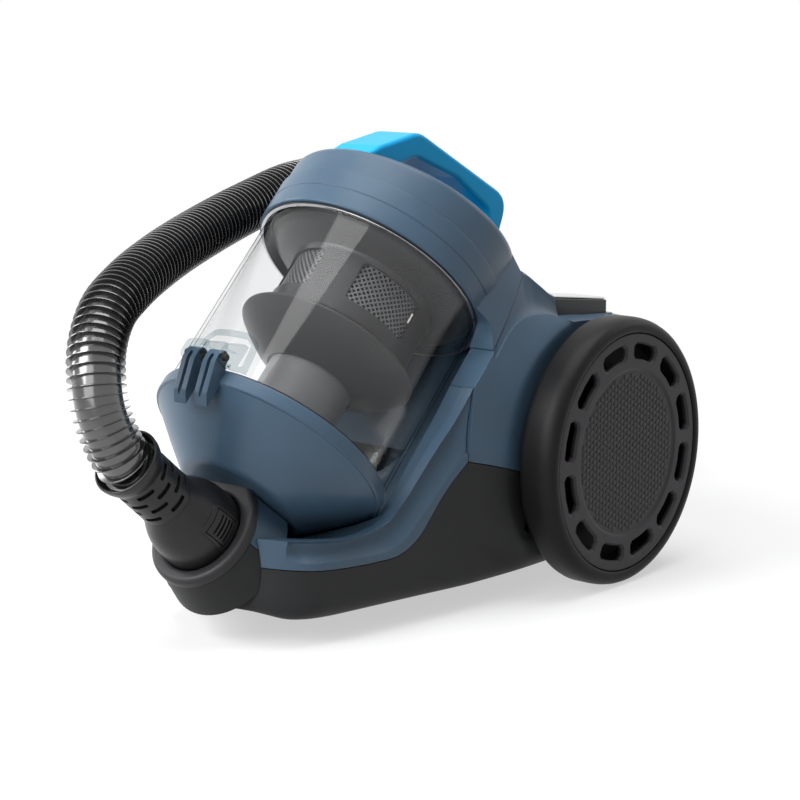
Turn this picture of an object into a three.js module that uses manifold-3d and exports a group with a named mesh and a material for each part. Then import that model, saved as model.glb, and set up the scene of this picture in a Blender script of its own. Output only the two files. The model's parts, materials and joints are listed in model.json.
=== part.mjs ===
// A compact bagless canister vacuum cleaner, in millimetres, +Z up.
// X is across the machine, -Y is the hose end, and the floor is Z = 0.
// The pieces are laid out from a point on the floor under the rear axle. The
// finished group is then moved so that its origin is below the middle of the machine.

import * as THREE from 'three';
import { mergeVertices } from 'three/addons/utils/BufferGeometryUtils.js';
import Module from 'manifold-3d';

const wasm = await Module();
wasm.setup();

// ------------------------------------------------------------ driving dimensions
const seat = 0.3;                  // gap between pieces that touch
const running = 1.5;               // gap around pieces that slide or turn past each other
const wall = 2.6;                  // moulded shell thickness

const bodyHalfWidth = 96;          // beside the wheels

// big wheels
const wheelRadius = 95;
const wheelOuterX = bodyHalfWidth + 38;   // outer face of a wheel
const tyreDepth = 10.5;            // rubber, from tread to rim
const tyreWidth = 28;
const wheelSides = 32;             // flats round a wheel
const hubPlateThickness = 4;
const hubSlotCount = 12;
const hubSlotRadius = wheelRadius - 24;   // middle of the slots
const hubSlotWidth = 12;
const hubSlotLength = 26;
const hubBossRadius = wheelRadius - 37.5; // raised middle of the hub plate
const axleRadius = 6;

// body, along Y
const bodyFrontY = -281;
const bodyRearY = 92;
const bodyBottomZ = 16;
const wheelFlangeRadius = wheelRadius + 4;   // rim of the wheel arch
const wheelFlangeX = bodyHalfWidth + 6;   // its outer face
const lipWidth = 8;                // rim of the deck beside the bin
const lipDepth = 5.5;              // the deck's floor below its lip
const rampDepth = 6.5;             // how far the moulding below the lip goes in
const screwRadius = 3;
const frontScrewX = 48;
const rearScrewX = bodyHalfWidth - 26;
const screwPlaces = [[frontScrewX, -232], [-frontScrewX, -232], [rearScrewX, 30], [-rearScrewX, 30]];

// dust bin, along its own leaning axis
const binLean = THREE.MathUtils.degToRad(44.87);
const binFootY = -239.6;           // where the bin axis starts
const tubeRadius = 80.3;
const binFootZ = 45.646 + tubeRadius * Math.sin(binLean);
const tubeWall = 2.2;
const tubeStart = 27.4;
const tubeEnd = 168;
const flapRadius = tubeRadius + 2.7;
const flapTop = 25.5;
const flapBand = 8.5;              // height of the straight band round the flap
const flapFloor = -21;
const flapFloorRadius = tubeRadius - 36.3;
const collarStart = 163;
const collarEnd = 219;
const collarRadius = tubeRadius + 4.7;
const lidRise = 0.09;              // slope of the lid's top, up towards the rear
const shroudRadius = 52;
const shroudEnd = 108;             // its lower end
const skirtRadius = 64;
const skirtEdge = 100;
const dustTubeRadius = 30;
const housingFace = 46;            // face of the rear housing, behind the bin axis
const deckEnd = 118.5;             // where the deck's lip meets that face, along the bin axis
const hingeOffset = flapRadius + 7;   // flap hinge pin, in front of the bin axis
const hingeHeight = 30;
const hingePinRadius = 2.2;
const handleHalfWidth = 18.5;
const partition = 176;             // floor between the cyclone and the filter
const partitionHole = 42;
const portWidth = 44;              // air port from the lid to the motor
const portStart = 184;
const portEnd = 202;
const windowCount = 4;
const latchHalfWidth = 11;
const latchLow = 238;
const latchHigh = 252;
const latchTravel = 2.5;
const hingeLug = 3.6;
const knuckleHalf = 4.6;

// hose swivel, on an axis that leans forward
const swivelLean = THREE.MathUtils.degToRad(49);
const swivelY = -291;
const swivelZ = 75;
const bulbRadius = 28.5;
const noseRingRadius = 37;
const sleeveRadius = 18.6;
const sleeveStart = 39;
const sleeveEnd = 76;
const hoseRadius = 18.3;
const hoseBore = 15;
const buttonHalf = 9;
const buttonTravel = 1.8;
const gripLength = 118;
const gripRadius = 17.5;
const gripBore = 14.5;
const sliderLength = 16;
const sliderTravel = 10;
const noseEnd = -34;
const noseDrop = 6;                // the nose is deeper below its ring than above it
const ductRadius = 13;
const ductBore = 11;

// caster under the middle of the front
const casterY = -190;
const casterTrail = 8;
const casterRadius = 15;
const casterWidth = 14;
const casterWellRadius = 27;
const casterWellTop = 46;
const casterStemRadius = 4;
const casterPinRadius = 2.5;
const forkPlate = 4;
const forkSide = 3;

// motor and cord reel, side by side on one level inside the rear
const driveY = 8;
const driveZ = 84;
const motorRadius = 46;
const motorStartX = -62;
const motorEndX = -8;
const fanRadius = 40;
const bladeCount = 7;
const reelRadius = 58;
const reelStartX = 14;
const reelEndX = bodyHalfWidth - 18;
const reelAxleRadius = 5;
const shaftRadius = 3;
const mountDepth = 6;               // rubber rings round the motor
const mountWidth = 10;
const boardZ = 28;

// foot pedals on top of the rear
const pedalX = bodyHalfWidth - 31;
const pedalHalfWidth = 15;
const pedalStartY = -24;
const pedalEndY = 48;
const pedalTopZ = 202;             // at its front edge
const pedalFall = 9;               // drop to its rear edge
const pedalDepth = 20;
const pedalPlate = 1.6;
const pedalClear = 0.5;
const pedalTravel = 3.5;
const switchHigh = 14;

// exhaust and mains lead outlet, on the rear
const grilleHalfWidth = 52;
const grilleLow = 84;
const grilleHigh = 124;
const grilleDepth = 5;
const cordBushRadius = 8;
const cordBushX = 40;
const cordBushZ = 66;

// ------------------------------------------------------------ geometry helpers
const across = new THREE.Vector3(1, 0, 0);

// A plain closed mesh: shared corners merged, flat slivers dropped, faces pointing out.
function closed(geometry) {
  const bare = geometry.clone();
  for (const name of Object.keys(bare.attributes)) {
    if (name !== 'position') bare.deleteAttribute(name);
  }
  const merged = mergeVertices(bare, 1e-4);
  const old = merged.index.array;
  const index = [];
  for (let i = 0; i < old.length; i += 3) {
    const [a, b, c] = [old[i], old[i + 1], old[i + 2]];
    if (a !== b && b !== c && c !== a) index.push(a, b, c);
  }
  const point = merged.attributes.position;
  const corner = [new THREE.Vector3(), new THREE.Vector3(), new THREE.Vector3()];
  let volume = 0;
  for (let i = 0; i < index.length; i += 3) {
    corner.forEach((v, k) => v.fromBufferAttribute(point, index[i + k]));
    volume += corner[0].dot(corner[1].clone().cross(corner[2]));
  }
  if (volume < 0) index.reverse();
  merged.setIndex(index);
  return merged;
}

function toSolid(geometry) {
  const mesh = closed(geometry);
  const solid = new wasm.Manifold(new wasm.Mesh({
    numProp: 3,
    vertProperties: new Float32Array(mesh.attributes.position.array),
    triVerts: new Uint32Array(mesh.index.array),
  }));
  if (solid.isEmpty()) throw new Error('a shape is not a closed solid');
  return solid;
}

function fromSolid(solid) {
  const mesh = solid.simplify(0.03).getMesh();
  const geometry = new THREE.BufferGeometry();
  geometry.setAttribute('position', new THREE.BufferAttribute(new Float32Array(mesh.vertProperties), 3));
  geometry.setIndex(new THREE.BufferAttribute(new Uint32Array(mesh.triVerts), 1));
  return geometry;
}

const join = (...parts) => fromSolid(parts.map(toSolid).reduce((a, b) => a.add(b)));
const cut = (body, ...tools) => fromSolid(tools.map(toSolid).reduce((a, b) => a.subtract(b), toSolid(body)));
const meet = (...parts) => fromSolid(parts.map(toSolid).reduce((a, b) => a.intersect(b)));

// A corner list with round corners: each point is [a, b] or [a, b, radius].
function rounded(corners, steps = 4) {
  const outline = [];
  corners.forEach(([a, b, radius], i) => {
    const here = new THREE.Vector2(a, b);
    if (!radius) {
      outline.push(here);
      return;
    }
    const [pa, pb] = corners[(i + corners.length - 1) % corners.length];
    const [na, nb] = corners[(i + 1) % corners.length];
    const back = new THREE.Vector2(pa, pb).sub(here).normalize();
    const on = new THREE.Vector2(na, nb).sub(here).normalize();
    const half = Math.acos(THREE.MathUtils.clamp(back.dot(on), -1, 1)) / 2;
    const reach = radius / Math.tan(half);
    const start = here.clone().addScaledVector(back, reach);
    const end = here.clone().addScaledVector(on, reach);
    const curve = new THREE.QuadraticBezierCurve(start, here, end);
    outline.push(...curve.getPoints(steps));
  });
  return outline;
}

// An outline pushed straight through: the outline lies in the named plane.
const planes = {
  yz: [[0, 1, 0], [0, 0, 1], [1, 0, 0]],
  xy: [[1, 0, 0], [0, 1, 0], [0, 0, 1]],
  xz: [[1, 0, 0], [0, 0, 1], [0, -1, 0]],
};
function prism(plane, outline, low, high) {
  const shape = new THREE.Shape(outline.map((p) => (p.isVector2 ? p : new THREE.Vector2(...p))));
  const geometry = new THREE.ExtrudeGeometry(shape, { depth: high - low, bevelEnabled: false });
  const [a, b, c] = planes[plane].map((v) => new THREE.Vector3(...v));
  const start = plane === 'xz' ? -high : low;
  geometry.translate(0, 0, start);
  return closed(geometry.applyMatrix4(new THREE.Matrix4().makeBasis(a, b, c)));
}

function block(x0, x1, y0, y1, z0, z1) {
  const geometry = new THREE.BoxGeometry(x1 - x0, y1 - y0, z1 - z0);
  geometry.translate((x0 + x1) / 2, (y0 + y1) / 2, (z0 + z1) / 2);
  return closed(geometry);
}

// A closed profile of [radius, height] turned about Z.
function turned(profile, segments = 48) {
  const points = profile.map((p) => (p.isVector2 ? p : new THREE.Vector2(p[0], p[1])));
  const geometry = new THREE.LatheGeometry([...points, points[0]], segments);
  geometry.rotateX(Math.PI / 2);
  return closed(geometry);
}

const ring = (inner, outer, low, high, segments) => turned(
  [[inner, low], [outer, low], [outer, high], [inner, high]], segments);
const disc = (radius, low, high, segments) => turned(
  [[0, low], [radius, low], [radius, high], [0, high]], segments);

// Lies a shape that was made round Z along X instead, at the given height and place.
function alongX(geometry, y, z) {
  return geometry.clone().rotateY(Math.PI / 2).translate(0, y, z);
}

function mirrored(geometry) {
  return closed(geometry.clone().scale(-1, 1, 1));
}

// A skin through closed loops of points, each with as many points as the next.
function loft(loops) {
  const count = loops[0].length;
  const position = loops.flat().flatMap((p) => [p.x, p.y, p.z]);
  const index = [];
  for (let k = 0; k + 1 < loops.length; k += 1) {
    for (let i = 0; i < count; i += 1) {
      const [a, b] = [k * count + i, k * count + ((i + 1) % count)];
      index.push(a, b, b + count, a, b + count, a + count);
    }
  }
  const last = (loops.length - 1) * count;
  for (let i = 1; i + 1 < count; i += 1) {
    index.push(0, i + 1, i);
    index.push(last, last + i, last + i + 1);
  }
  const geometry = new THREE.BufferGeometry();
  geometry.setAttribute('position', new THREE.Float32BufferAttribute(position, 3));
  geometry.setIndex(index);
  return closed(geometry);
}

// A round tube along a smooth line, hollow if it has a bore.
function tube(points, radius, bore, sides, steps) {
  const path = new THREE.CatmullRomCurve3(points.map((p) => new THREE.Vector3(...p)), false, 'centripetal');
  const circle = (r) => Array.from({ length: sides }, (_, i) => new THREE.Vector2(
    r * Math.cos((2 * Math.PI * i) / sides), r * Math.sin((2 * Math.PI * i) / sides)));
  const shape = new THREE.Shape(circle(radius));
  if (bore) shape.holes = [new THREE.Path(circle(bore))];
  return closed(new THREE.ExtrudeGeometry(shape, { steps, extrudePath: path, bevelEnabled: false }));
}

// ------------------------------------------------------------ frames
const binFrame = new THREE.Matrix4().makeRotationX(-binLean).setPosition(0, binFootY, binFootZ);
const swivelFrame = new THREE.Matrix4().makeRotationX(swivelLean).setPosition(0, swivelY, swivelZ);
const inBin = (geometry) => geometry.clone().applyMatrix4(binFrame);
const onSwivel = (geometry) => geometry.clone().applyMatrix4(swivelFrame);

// A point on the middle plane, from a place behind the bin axis and a height along it.
function binPoint(behind, height) {
  const point = new THREE.Vector3(0, behind, height).applyMatrix4(binFrame);
  return [point.y, point.z];
}

// ------------------------------------------------------------ body envelope
// Stations from front to rear: place, half width, bottom, bottom corner, top, top corner.
const stations = [
  [bodyFrontY, bodyHalfWidth - 34, 24, 12, 232, 8],
  [-262, bodyHalfWidth - 30, 18, 14, 232, 8],
  [-228, bodyHalfWidth - 23, bodyBottomZ, 14, 232, 8],
  [-164, bodyHalfWidth - 12, bodyBottomZ, 14, 232, 8],
  [-108, bodyHalfWidth - 3, bodyBottomZ, 12, 232, 8],
  [-56, bodyHalfWidth, bodyBottomZ, 12, 225, 8],
  [-40, bodyHalfWidth, bodyBottomZ, 12, 215, 9],
  [-26, bodyHalfWidth, bodyBottomZ, 12, 206, 12],
  [-8, bodyHalfWidth, bodyBottomZ, 12, 202, 20],
  [20, bodyHalfWidth, bodyBottomZ, 14, 198, 26],
  [48, bodyHalfWidth, 20, 18, 189, 30],
  [68, bodyHalfWidth - 2, 34, 20, 176, 32],
  [82, bodyHalfWidth - 6, 54, 20, 157, 30],
  [bodyRearY, bodyHalfWidth - 12, 76, 16, 132, 22],
];
const lean = (z) => 0.0023 * Math.max(0, z - 140) ** 2;

// The shoulder that each pedal stands on, from front to rear: place, height of the crease along the side, and
// the top of the hollow face behind it, as distance in from the side and height.
const shoulderStations = [
  [-102, 171, 5, 174.5],
  [-97.7, 174, 6.1, 179.5],
  [-91.3, 179.9, 7, 186],
  [-82.4, 186.9, 8.6, 195],
  [-72.8, 191.8, 10.6, 204.6],
  [-62.4, 194, 13.3, 215],
  [-55.5, 194.6, 15.3, 221.5],
  [-48, 194.4, 14.5, 216.5],
  [-42, 193.8, 13, 211.5],
  [-36, 192, 11.7, 206.8],
  [-30, 189.5, 10.7, 202],
  [-25.3, 187.8, 10, 198.5],
  [-24.6, 187.6, 50, 206],
  [20, 184.2, 50, 200],
  [48, 182.2, 50, 192],
  [62, 180, 46, 185],
  [78, 176, 36, 178],
  [bodyRearY + 6, 170, 26, 172],
];

function bodyLoop([y, half, bottom, bottomCorner, top, topCorner], inset) {
  const [w, low, high] = [half - inset, bottom + inset, top - inset];
  const side = [[0, low]];
  for (let i = 0; i <= 2; i += 1) {
    const turn = (i / 2) * (Math.PI / 2);
    side.push([w - bottomCorner + bottomCorner * Math.sin(turn),
      low + bottomCorner - bottomCorner * Math.cos(turn)]);
  }
  const shoulder = high - topCorner;
  for (let i = 1; i <= 3; i += 1) {
    const z = low + bottomCorner + (shoulder - low - bottomCorner) * (i / 3);
    side.push([w - lean(z), z]);
  }
  const edge = w - lean(shoulder) - topCorner;
  for (let i = 1; i <= 3; i += 1) {
    const turn = (i / 3) * (Math.PI / 2);
    side.push([edge + topCorner * Math.cos(turn), shoulder + topCorner * Math.sin(turn)]);
  }
  side.push([0, high]);
  const far = side.slice(1, -1).reverse().map(([x, z]) => [-x, z]);
  const place = THREE.MathUtils.clamp(y, bodyFrontY + inset, bodyRearY - inset);
  return [...side, ...far].map(([x, z]) => new THREE.Vector3(x, place, z));
}
const bodyForm = (inset) => loft(stations.map((station) => bodyLoop(station, inset)));

function halfWidthAt(place) {
  const next = Math.max(1, stations.findIndex(([y]) => y >= place));
  const [[y0, half0], [y1, half1]] = [stations[next - 1], stations[next]];
  return half0 + (half1 - half0) * THREE.MathUtils.clamp((place - y0) / (y1 - y0), 0, 1);
}

// Side view lines, as [y, z]: the base's upper edge, up to where the deck meets the housing and then on.
const deckSeam = [[bodyFrontY, 54], [-250, 50.3], [-226, 48.8], [-206, 48.6], [-188, 49.8], [-172, 58.2],
  [-152, 81.5], [-140, 94.5]];
const splitFoot = [-130.3, 104.3];
const housingSeam = [[-108, 98.3], [-84, 91], [-55, 85], [-30, 80], [bodyRearY, 80]];
const splitTop = binPoint(housingFace, deckEnd);

// The deck's lip, and the lower edge of the hollow ramp below it, at matching places.
const lipLine = [[bodyFrontY, 73], [-246, 69.3], [-226, 67.6], [-209, 69.7], [-195, 74], [-187, 81],
  [-180, 87.4], [-166.6, 102.6], [-152.7, 118.1], [-138.7, 133.1], splitTop];
const rampLine = [[bodyFrontY, 59], [-250, 55.3], [-226, 54], [-207, 53.8], [-192, 55], [-179.6, 62.2],
  [-170, 71.6], [-157.2, 83.9], [-144, 97.6], [-136, 106], [-131, 110.4]];
const far = 130;                   // outside the body on every side
const ahead = -400;                // in front of everything
const highUp = 300;                // above the body, and past the bin's end
const archRearY = 66;              // where the housing's wheel arches end
const below = -20;

const belowSeam = [...deckSeam, splitFoot, ...housingSeam, [far, 80], [far, below], [ahead, below],
  [ahead, 54]];
const raised = (line) => line.map(([y, z]) => [y, z + 2 * seat]);

// What is taken off above a pedal's shoulder. A hollow inside it keeps the given distance.
function shoulderSpace(extra) {
  return loft(shoulderStations.map(([y, crease, taper, top]) => {
    const side = halfWidthAt(Math.min(y, bodyRearY)) - lean(crease);
    const foot = new THREE.Vector2(side - extra, crease - extra);
    const head = new THREE.Vector2(bodyHalfWidth - taper - extra, top - extra);
    const bend = new THREE.Vector2(head.x + (foot.x - head.x) * 0.3, foot.y + (head.y - foot.y) * 0.2);
    const face = new THREE.QuadraticBezierCurve(foot, bend, head).getPoints(4);
    const outside = [[head.x, highUp], [far, highUp], [far, foot.y]].map(([x, z]) => new THREE.Vector2(x, z));
    return [...face, ...outside].map((p) => new THREE.Vector3(p.x, y - extra, p.y));
  }));
}

// Space that the bin needs in the body: its own form, and the way that it leaves by.
function binSpace(extra) {
  const slack = running + extra;
  return inBin(turned([
    [0, flapFloor - slack], [flapFloorRadius + slack * 0.7, flapFloor - slack],
    [flapRadius + slack, flapTop - flapBand - slack * 0.6], [flapRadius + slack, collarStart - 8],
    [collarRadius + slack, collarStart - 4], [collarRadius + slack, highUp], [0, highUp],
  ], 40));
}

// ------------------------------------------------------------ materials
const plastic = (color, roughness = 0.45, metalness = 0) => new THREE.MeshStandardMaterial({
  color, roughness, metalness });
const finish = {
  blue: plastic(0x4a6079, 0.35),
  bright: plastic(0x0a86c8, 0.35),
  black: plastic(0x1c1c1d, 0.55),
  grey: plastic(0x3a3a3c, 0.5),
  hub: plastic(0x434145, 0.55),
  rubber: plastic(0x141414, 0.8),
  clear: new THREE.MeshStandardMaterial({
    color: 0xdfe6ea, roughness: 0.05, transparent: true, opacity: 0.3 }),
  smoke: plastic(0x4b4b4d, 0.3),
  steel: plastic(0xb8bcc0, 0.3, 1),
  chrome: plastic(0xd5d8da, 0.12, 1),
  foam: plastic(0x2f4f6d, 0.95),
  paper: plastic(0xe6e2d6, 0.9),
  board: plastic(0x1f6a3a, 0.6),
};

const machine = new THREE.Group();
const binGroup = new THREE.Group();
binGroup.rotation.x = -binLean;
binGroup.position.set(0, binFootY, binFootZ);
const swivelGroup = new THREE.Group();
swivelGroup.rotation.x = swivelLean;
swivelGroup.position.set(0, swivelY, swivelZ);
machine.add(binGroup, swivelGroup);

function piece(name, geometry, material, parent = machine) {
  const mesh = new THREE.Mesh(geometry, material);
  mesh.name = name;
  parent.add(mesh);
  return mesh;
}

// ------------------------------------------------------------ body shells
const wholeWidth = [-far, far];
const outer = bodyForm(0);
const inner = bodyForm(wall);
const bothSides = (geometry) => [geometry, mirrored(geometry)];

// The rim of a wheel arch, close behind the tyre.
const wheelFlange = (radius) => alongX(
  ring(radius - 8, radius, bodyHalfWidth - 16, wheelFlangeX, 36), 0, wheelRadius);
const axleBossX = bodyHalfWidth - 7.5;
const axleBoss = alongX(disc(axleRadius + 8, axleBossX, wheelFlangeX - 2, 20), 0, wheelRadius);
const axleHole = alongX(disc(axleRadius + seat, axleBossX - 5, far, 20), 0, wheelRadius);

const casterWell = (radius, top) => disc(radius, bodyBottomZ - 4, top, 40).translate(0, casterY, 0);
const screwHole = ([x, y], radius) => disc(radius, 0, bodyBottomZ + 8, 12).translate(x, y, 0);

// Cradles on the base floor for the motor's rubber rings.
const mountPlaces = [motorStartX - 12, motorEndX - 14];
const cradleRib = (x) => block(x + 2, x + mountWidth - 2, driveY - 34, driveY + 34,
  bodyBottomZ + 1, driveZ - 22);
const railX = 24;
const boardRail = (x) => block(x - 2, x + 2, -92, -56, bodyBottomZ + 1, boardZ - seat);
const reelWallX = reelEndX + 4;
const reelWall = block(reelWallX, reelWallX + 5, driveY - 16, driveY + 16, bodyBottomZ + 1, driveZ + 14);

const sideRecess = alongX(disc(5, bodyHalfWidth - 1.8, far, 20).scale(1, 1.5, 1), -73, 52);
const sideArch = block(bodyHalfWidth - 14, far, -98, 104, -10, bodyBottomZ + 12);

const cordBushFace = bodyRearY + seat;
const cordWay = (radius, from, to) => disc(radius, from, to, 16).rotateX(-Math.PI / 2)
  .translate(cordBushX, 0, cordBushZ);

function basePan() {
  const low = prism('yz', belowSeam, ...wholeWidth);
  const hollowed = cut(meet(outer, low), inner);
  const fittings = join(
    ...mountPlaces.map(cradleRib), boardRail(-railX), boardRail(railX), reelWall,
    casterWell(casterWellRadius + wall, casterWellTop + wall));
  const fitted = meet(fittings, outer, low);
  const flanges = meet(join(...bothSides(wheelFlange(wheelFlangeRadius - 4))), low,
    block(-far, far, -far, -40, 34, far));
  return cut(
    join(hollowed, fitted, flanges),
    alongX(disc(motorRadius + mountDepth + seat, motorStartX - 40, 0, 24), driveY, driveZ),
    alongX(disc(reelAxleRadius + seat, 0, reelWallX + 3, 20), driveY, driveZ),
    casterWell(casterWellRadius, casterWellTop),
    disc(casterStemRadius + seat, 0, 60, 24).translate(0, casterY, 0),
    noseSpace(seat),
    ...bothSides(sideRecess),
    ...screwPlaces.map((place) => screwHole(place, screwRadius + seat)),
    cordWay(cordBushRadius + seat, 70, far));
}

function frontDeck() {
  const region = [...raised(deckSeam), [splitFoot[0] - seat, splitFoot[1] + 2 * seat],
    [splitTop[0] - seat, splitTop[1]], ...lipLine.slice(0, -1).reverse()];
  const floorLine = lipLine.map(([y, z]) => [y, z - lipDepth]);
  const aboveFloor = [...floorLine, [-60, highUp], [ahead, highUp], [ahead, floorLine[0][1]]];
  const belowFloor = [...floorLine.map(([y, z]) => [y, z - wall]), [-60, 120], [-60, below], [ahead, below],
    [ahead, floorLine[0][1] - wall]];
  const belowRamp = [...rampLine.map(([y, z]) => [y, z - 1]), [-60, 110], [-60, below], [ahead, below],
    [ahead, rampLine[0][1] - 1]];
  const skin = cut(
    meet(outer, prism('yz', region, ...wholeWidth)),
    meet(bodyForm(lipWidth), prism('yz', aboveFloor, ...wholeWidth)));
  const under = cut(join(
    meet(bodyForm(rampDepth + wall), prism('yz', belowFloor, ...wholeWidth)),
    meet(inner, prism('yz', belowRamp, ...wholeWidth))), binSpace(wall));
  const trough = meet(
    cut(binSpace(wall), binSpace(0)),
    bodyForm(wall + seat),
    prism('yz', [[ahead, 30], [splitFoot[0] - 30, 30], [splitFoot[0] - seat, splitFoot[1]],
      [splitTop[0] - seat, splitTop[1]], ...floorLine.slice(0, -1).reverse(),
      [ahead, floorLine[0][1]]], ...wholeWidth));
  return cut(join(cut(skin, under), trough), binSpace(0), ...bothSides(lipRamp()), noseSpace(seat),
    ductSpace);
}

// The hollow moulding along the outside of the deck's lip.
function lipRamp() {
  const section = [[0, 1], [0.35, 0.92], [0.65, 0.65], [0.85, 0.3], [1, 0]];
  const loops = lipLine.map(([y, z], i) => {
    const [footY, footZ] = rampLine[i];
    const point = (share, inset) => {
      const [py, pz] = [y + (footY - y) * share, z + (footZ - z) * share];
      return new THREE.Vector3(halfWidthAt(py) - lean(pz) - inset, py, pz);
    };
    return [...section.map(([down, depth]) => point(down, depth * rampDepth)), point(1, -10),
      point(-0.4, -10), point(-0.4, rampDepth)];
  });
  const beyond = (loop, by) => loop.map((p) => p.clone().setY(p.y + by));
  return loft([beyond(loops[0], -20), ...loops, beyond(loops[loops.length - 1], 10)]);
}

function rearHousing() {
  const faceTop = binPoint(housingFace, highUp);
  const region = [[splitFoot[0] + seat, splitFoot[1] + 2 * seat], ...raised(housingSeam),
    [far, 80 + 2 * seat], [far, highUp], faceTop, [splitTop[0] + seat, splitTop[1]]];
  const side = prism('yz', region, ...wholeWidth);
  const arches = meet(join(...bothSides(wheelFlange(wheelFlangeRadius))),
    block(-far, far, -far, archRearY, 0, highUp));
  const flanges = meet(join(arches, ...bothSides(axleBoss)), side);
  const insideFace = prism('yz', [binPoint(housingFace + wall, 20), binPoint(housingFace + wall, highUp),
    [far, 300], [far, -20], [-190, -20]], ...wholeWidth);
  const insideEnd = prism('yz', [[splitFoot[0] + wall, below], [splitFoot[0] + wall, splitFoot[1]],
    [splitTop[0] + wall, splitTop[1]], [splitTop[0] + wall, highUp], [far, highUp], [far, below]],
  ...wholeWidth);
  const hollow = cut(meet(inner, insideFace, insideEnd), binSpace(wall), ...bothSides(shoulderSpace(wall)));
  const shell = cut(join(cut(meet(outer, side), hollow), flanges, meet(outer, switchShelf)), binSpace(0),
    ...bothSides(shoulderSpace(0)));
  return cut(
    shell,
    ...bothSides(axleHole),
    ...bothSides(pedalOpening()),
    grilleOpening(seat),
    outletPort(0),
    ductSpace);
}

// ------------------------------------------------------------ openings shared by two pieces
const outletPort = (extra) => inBin(block(-portWidth / 2 - extra, portWidth / 2 + extra, 60, 112,
  portStart - extra, portEnd + extra));

const grilleOpening = (extra) => block(-grilleHalfWidth - extra, grilleHalfWidth + extra,
  bodyRearY - 14, far, grilleLow - extra, grilleHigh + extra);

function pedalOpening() {
  return block(pedalX - pedalHalfWidth - pedalClear, pedalX + pedalHalfWidth + pedalClear,
    pedalStartY - pedalClear, pedalEndY + pedalClear, pedalTopZ - 36, pedalTopZ + 40);
}

// ------------------------------------------------------------ nose
const noseLoops = [[0, 0], [-12, 1.8], [noseEnd, 7]];

function noseLoop(depth, grow, inset) {
  const points = [];
  for (let i = 0; i < 24; i += 1) {
    const turn = (i / 24) * 2 * Math.PI;
    const radius = noseRingRadius + grow - inset;
    const low = Math.max(0, -Math.sin(turn));
    points.push(new THREE.Vector3(
      radius * Math.cos(turn), radius * Math.sin(turn) - noseDrop * low ** 2, depth));
  }
  const nosePlace = new THREE.Matrix4().makeRotationZ(Math.PI).premultiply(swivelFrame);
  return points.map((p) => p.applyMatrix4(nosePlace));
}
const noseForm = (inset, longer = 0) => loft(noseLoops.map(([depth, grow]) => noseLoop(
  depth + (depth === 0 ? longer : 0) + (depth === noseEnd ? inset : 0), grow, inset)));
const noseSpace = (extra) => noseForm(-extra, 30);

// ------------------------------------------------------------ intake duct
const ductRoute = [[0, -262, 50], [14, -251, 42], [42, -232, 36], [55, -200, 34], [56, -150, 34],
  [50, -104, 40], [36, -82, 62], [24, -84, 92], [22, -94, 112]];
const ductSpace = tube(ductRoute, ductRadius + 3 * seat, 0, 10, 14);

function noseHousing() {
  const shell = cut(noseForm(0), meet(noseForm(wall), onSwivel(disc(80, -60, -3 - wall, 28))));
  const mouth = onSwivel(disc(bulbRadius + seat, -3 - 2 * wall, 20, 28));
  const throat = onSwivel(disc(ductRadius + seat, -80, 0, 24));
  return cut(shell, mouth, throat, binSpace(0), ductSpace);
}

// ------------------------------------------------------------ wheels
function tyre() {
  const [inside, outside] = [wheelOuterX - tyreWidth, wheelOuterX];
  return alongX(turned([
    [wheelRadius - tyreDepth, inside], [wheelRadius - 4, inside], [wheelRadius, inside + 5],
    [wheelRadius, outside - 8], [wheelRadius - 2.5, outside - 2.5], [wheelRadius - tyreDepth, outside],
  ], wheelSides), 0, wheelRadius);
}

const rimRadius = wheelRadius - tyreDepth - seat;
const hubPlateInside = wheelOuterX - 1 - hubPlateThickness;

function wheelCore() {
  const [inside, outside] = [wheelOuterX - tyreWidth + 1, hubPlateInside - seat];
  return alongX(turned([
    [axleRadius + seat, inside], [rimRadius, inside], [rimRadius, outside], [rimRadius - 4, outside],
    [rimRadius - 4, inside + 3], [axleRadius + 7, inside + 3], [axleRadius + 7, outside],
    [axleRadius + seat, outside],
  ], wheelSides), 0, wheelRadius);
}

// The outer plate, with chamfered slots round a raised middle.
function hubPlate() {
  const half = [hubSlotLength / 2, hubSlotWidth / 2];
  const nip = 5;
  const slot = [[-half[0], 0], [-half[0] + nip, -half[1]], [half[0] - nip, -half[1]],
    [half[0], 0], [half[0] - nip, half[1]], [-half[0] + nip, half[1]]];
  const slots = Array.from({ length: hubSlotCount }, (_, i) => prism('xy', slot, -far, far)
    .translate(0, hubSlotRadius, 0).rotateZ(((i + 0.5) * 2 * Math.PI) / hubSlotCount));
  const plate = turned([
    [0, 0], [rimRadius, 0], [rimRadius, hubPlateThickness - 1], [rimRadius - 1.5, hubPlateThickness],
    [hubBossRadius + 2, hubPlateThickness], [hubBossRadius, hubPlateThickness - 1.2],
    [0, hubPlateThickness - 1.2],
  ], wheelSides);
  return alongX(cut(plate, ...slots).translate(0, 0, hubPlateInside), 0, wheelRadius);
}

const axlePin = alongX(disc(axleRadius, axleBossX + 0.5, hubPlateInside - 2 * seat, 20), 0, wheelRadius);

function bigWheels() {
  const parts = [['tyre', tyre(), finish.rubber], ['wheel_core', wheelCore(), finish.black],
    ['hub_plate', hubPlate(), finish.hub], ['axle_pin', axlePin, finish.steel]];
  for (const [name, shape, material] of parts) {
    piece(`${name}_right`, shape, material);
    piece(`${name}_left`, mirrored(shape), material);
  }
}

// ------------------------------------------------------------ caster
const forkTop = casterWellTop - 0.6;
const casterAxleY = casterY + casterTrail;

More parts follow.
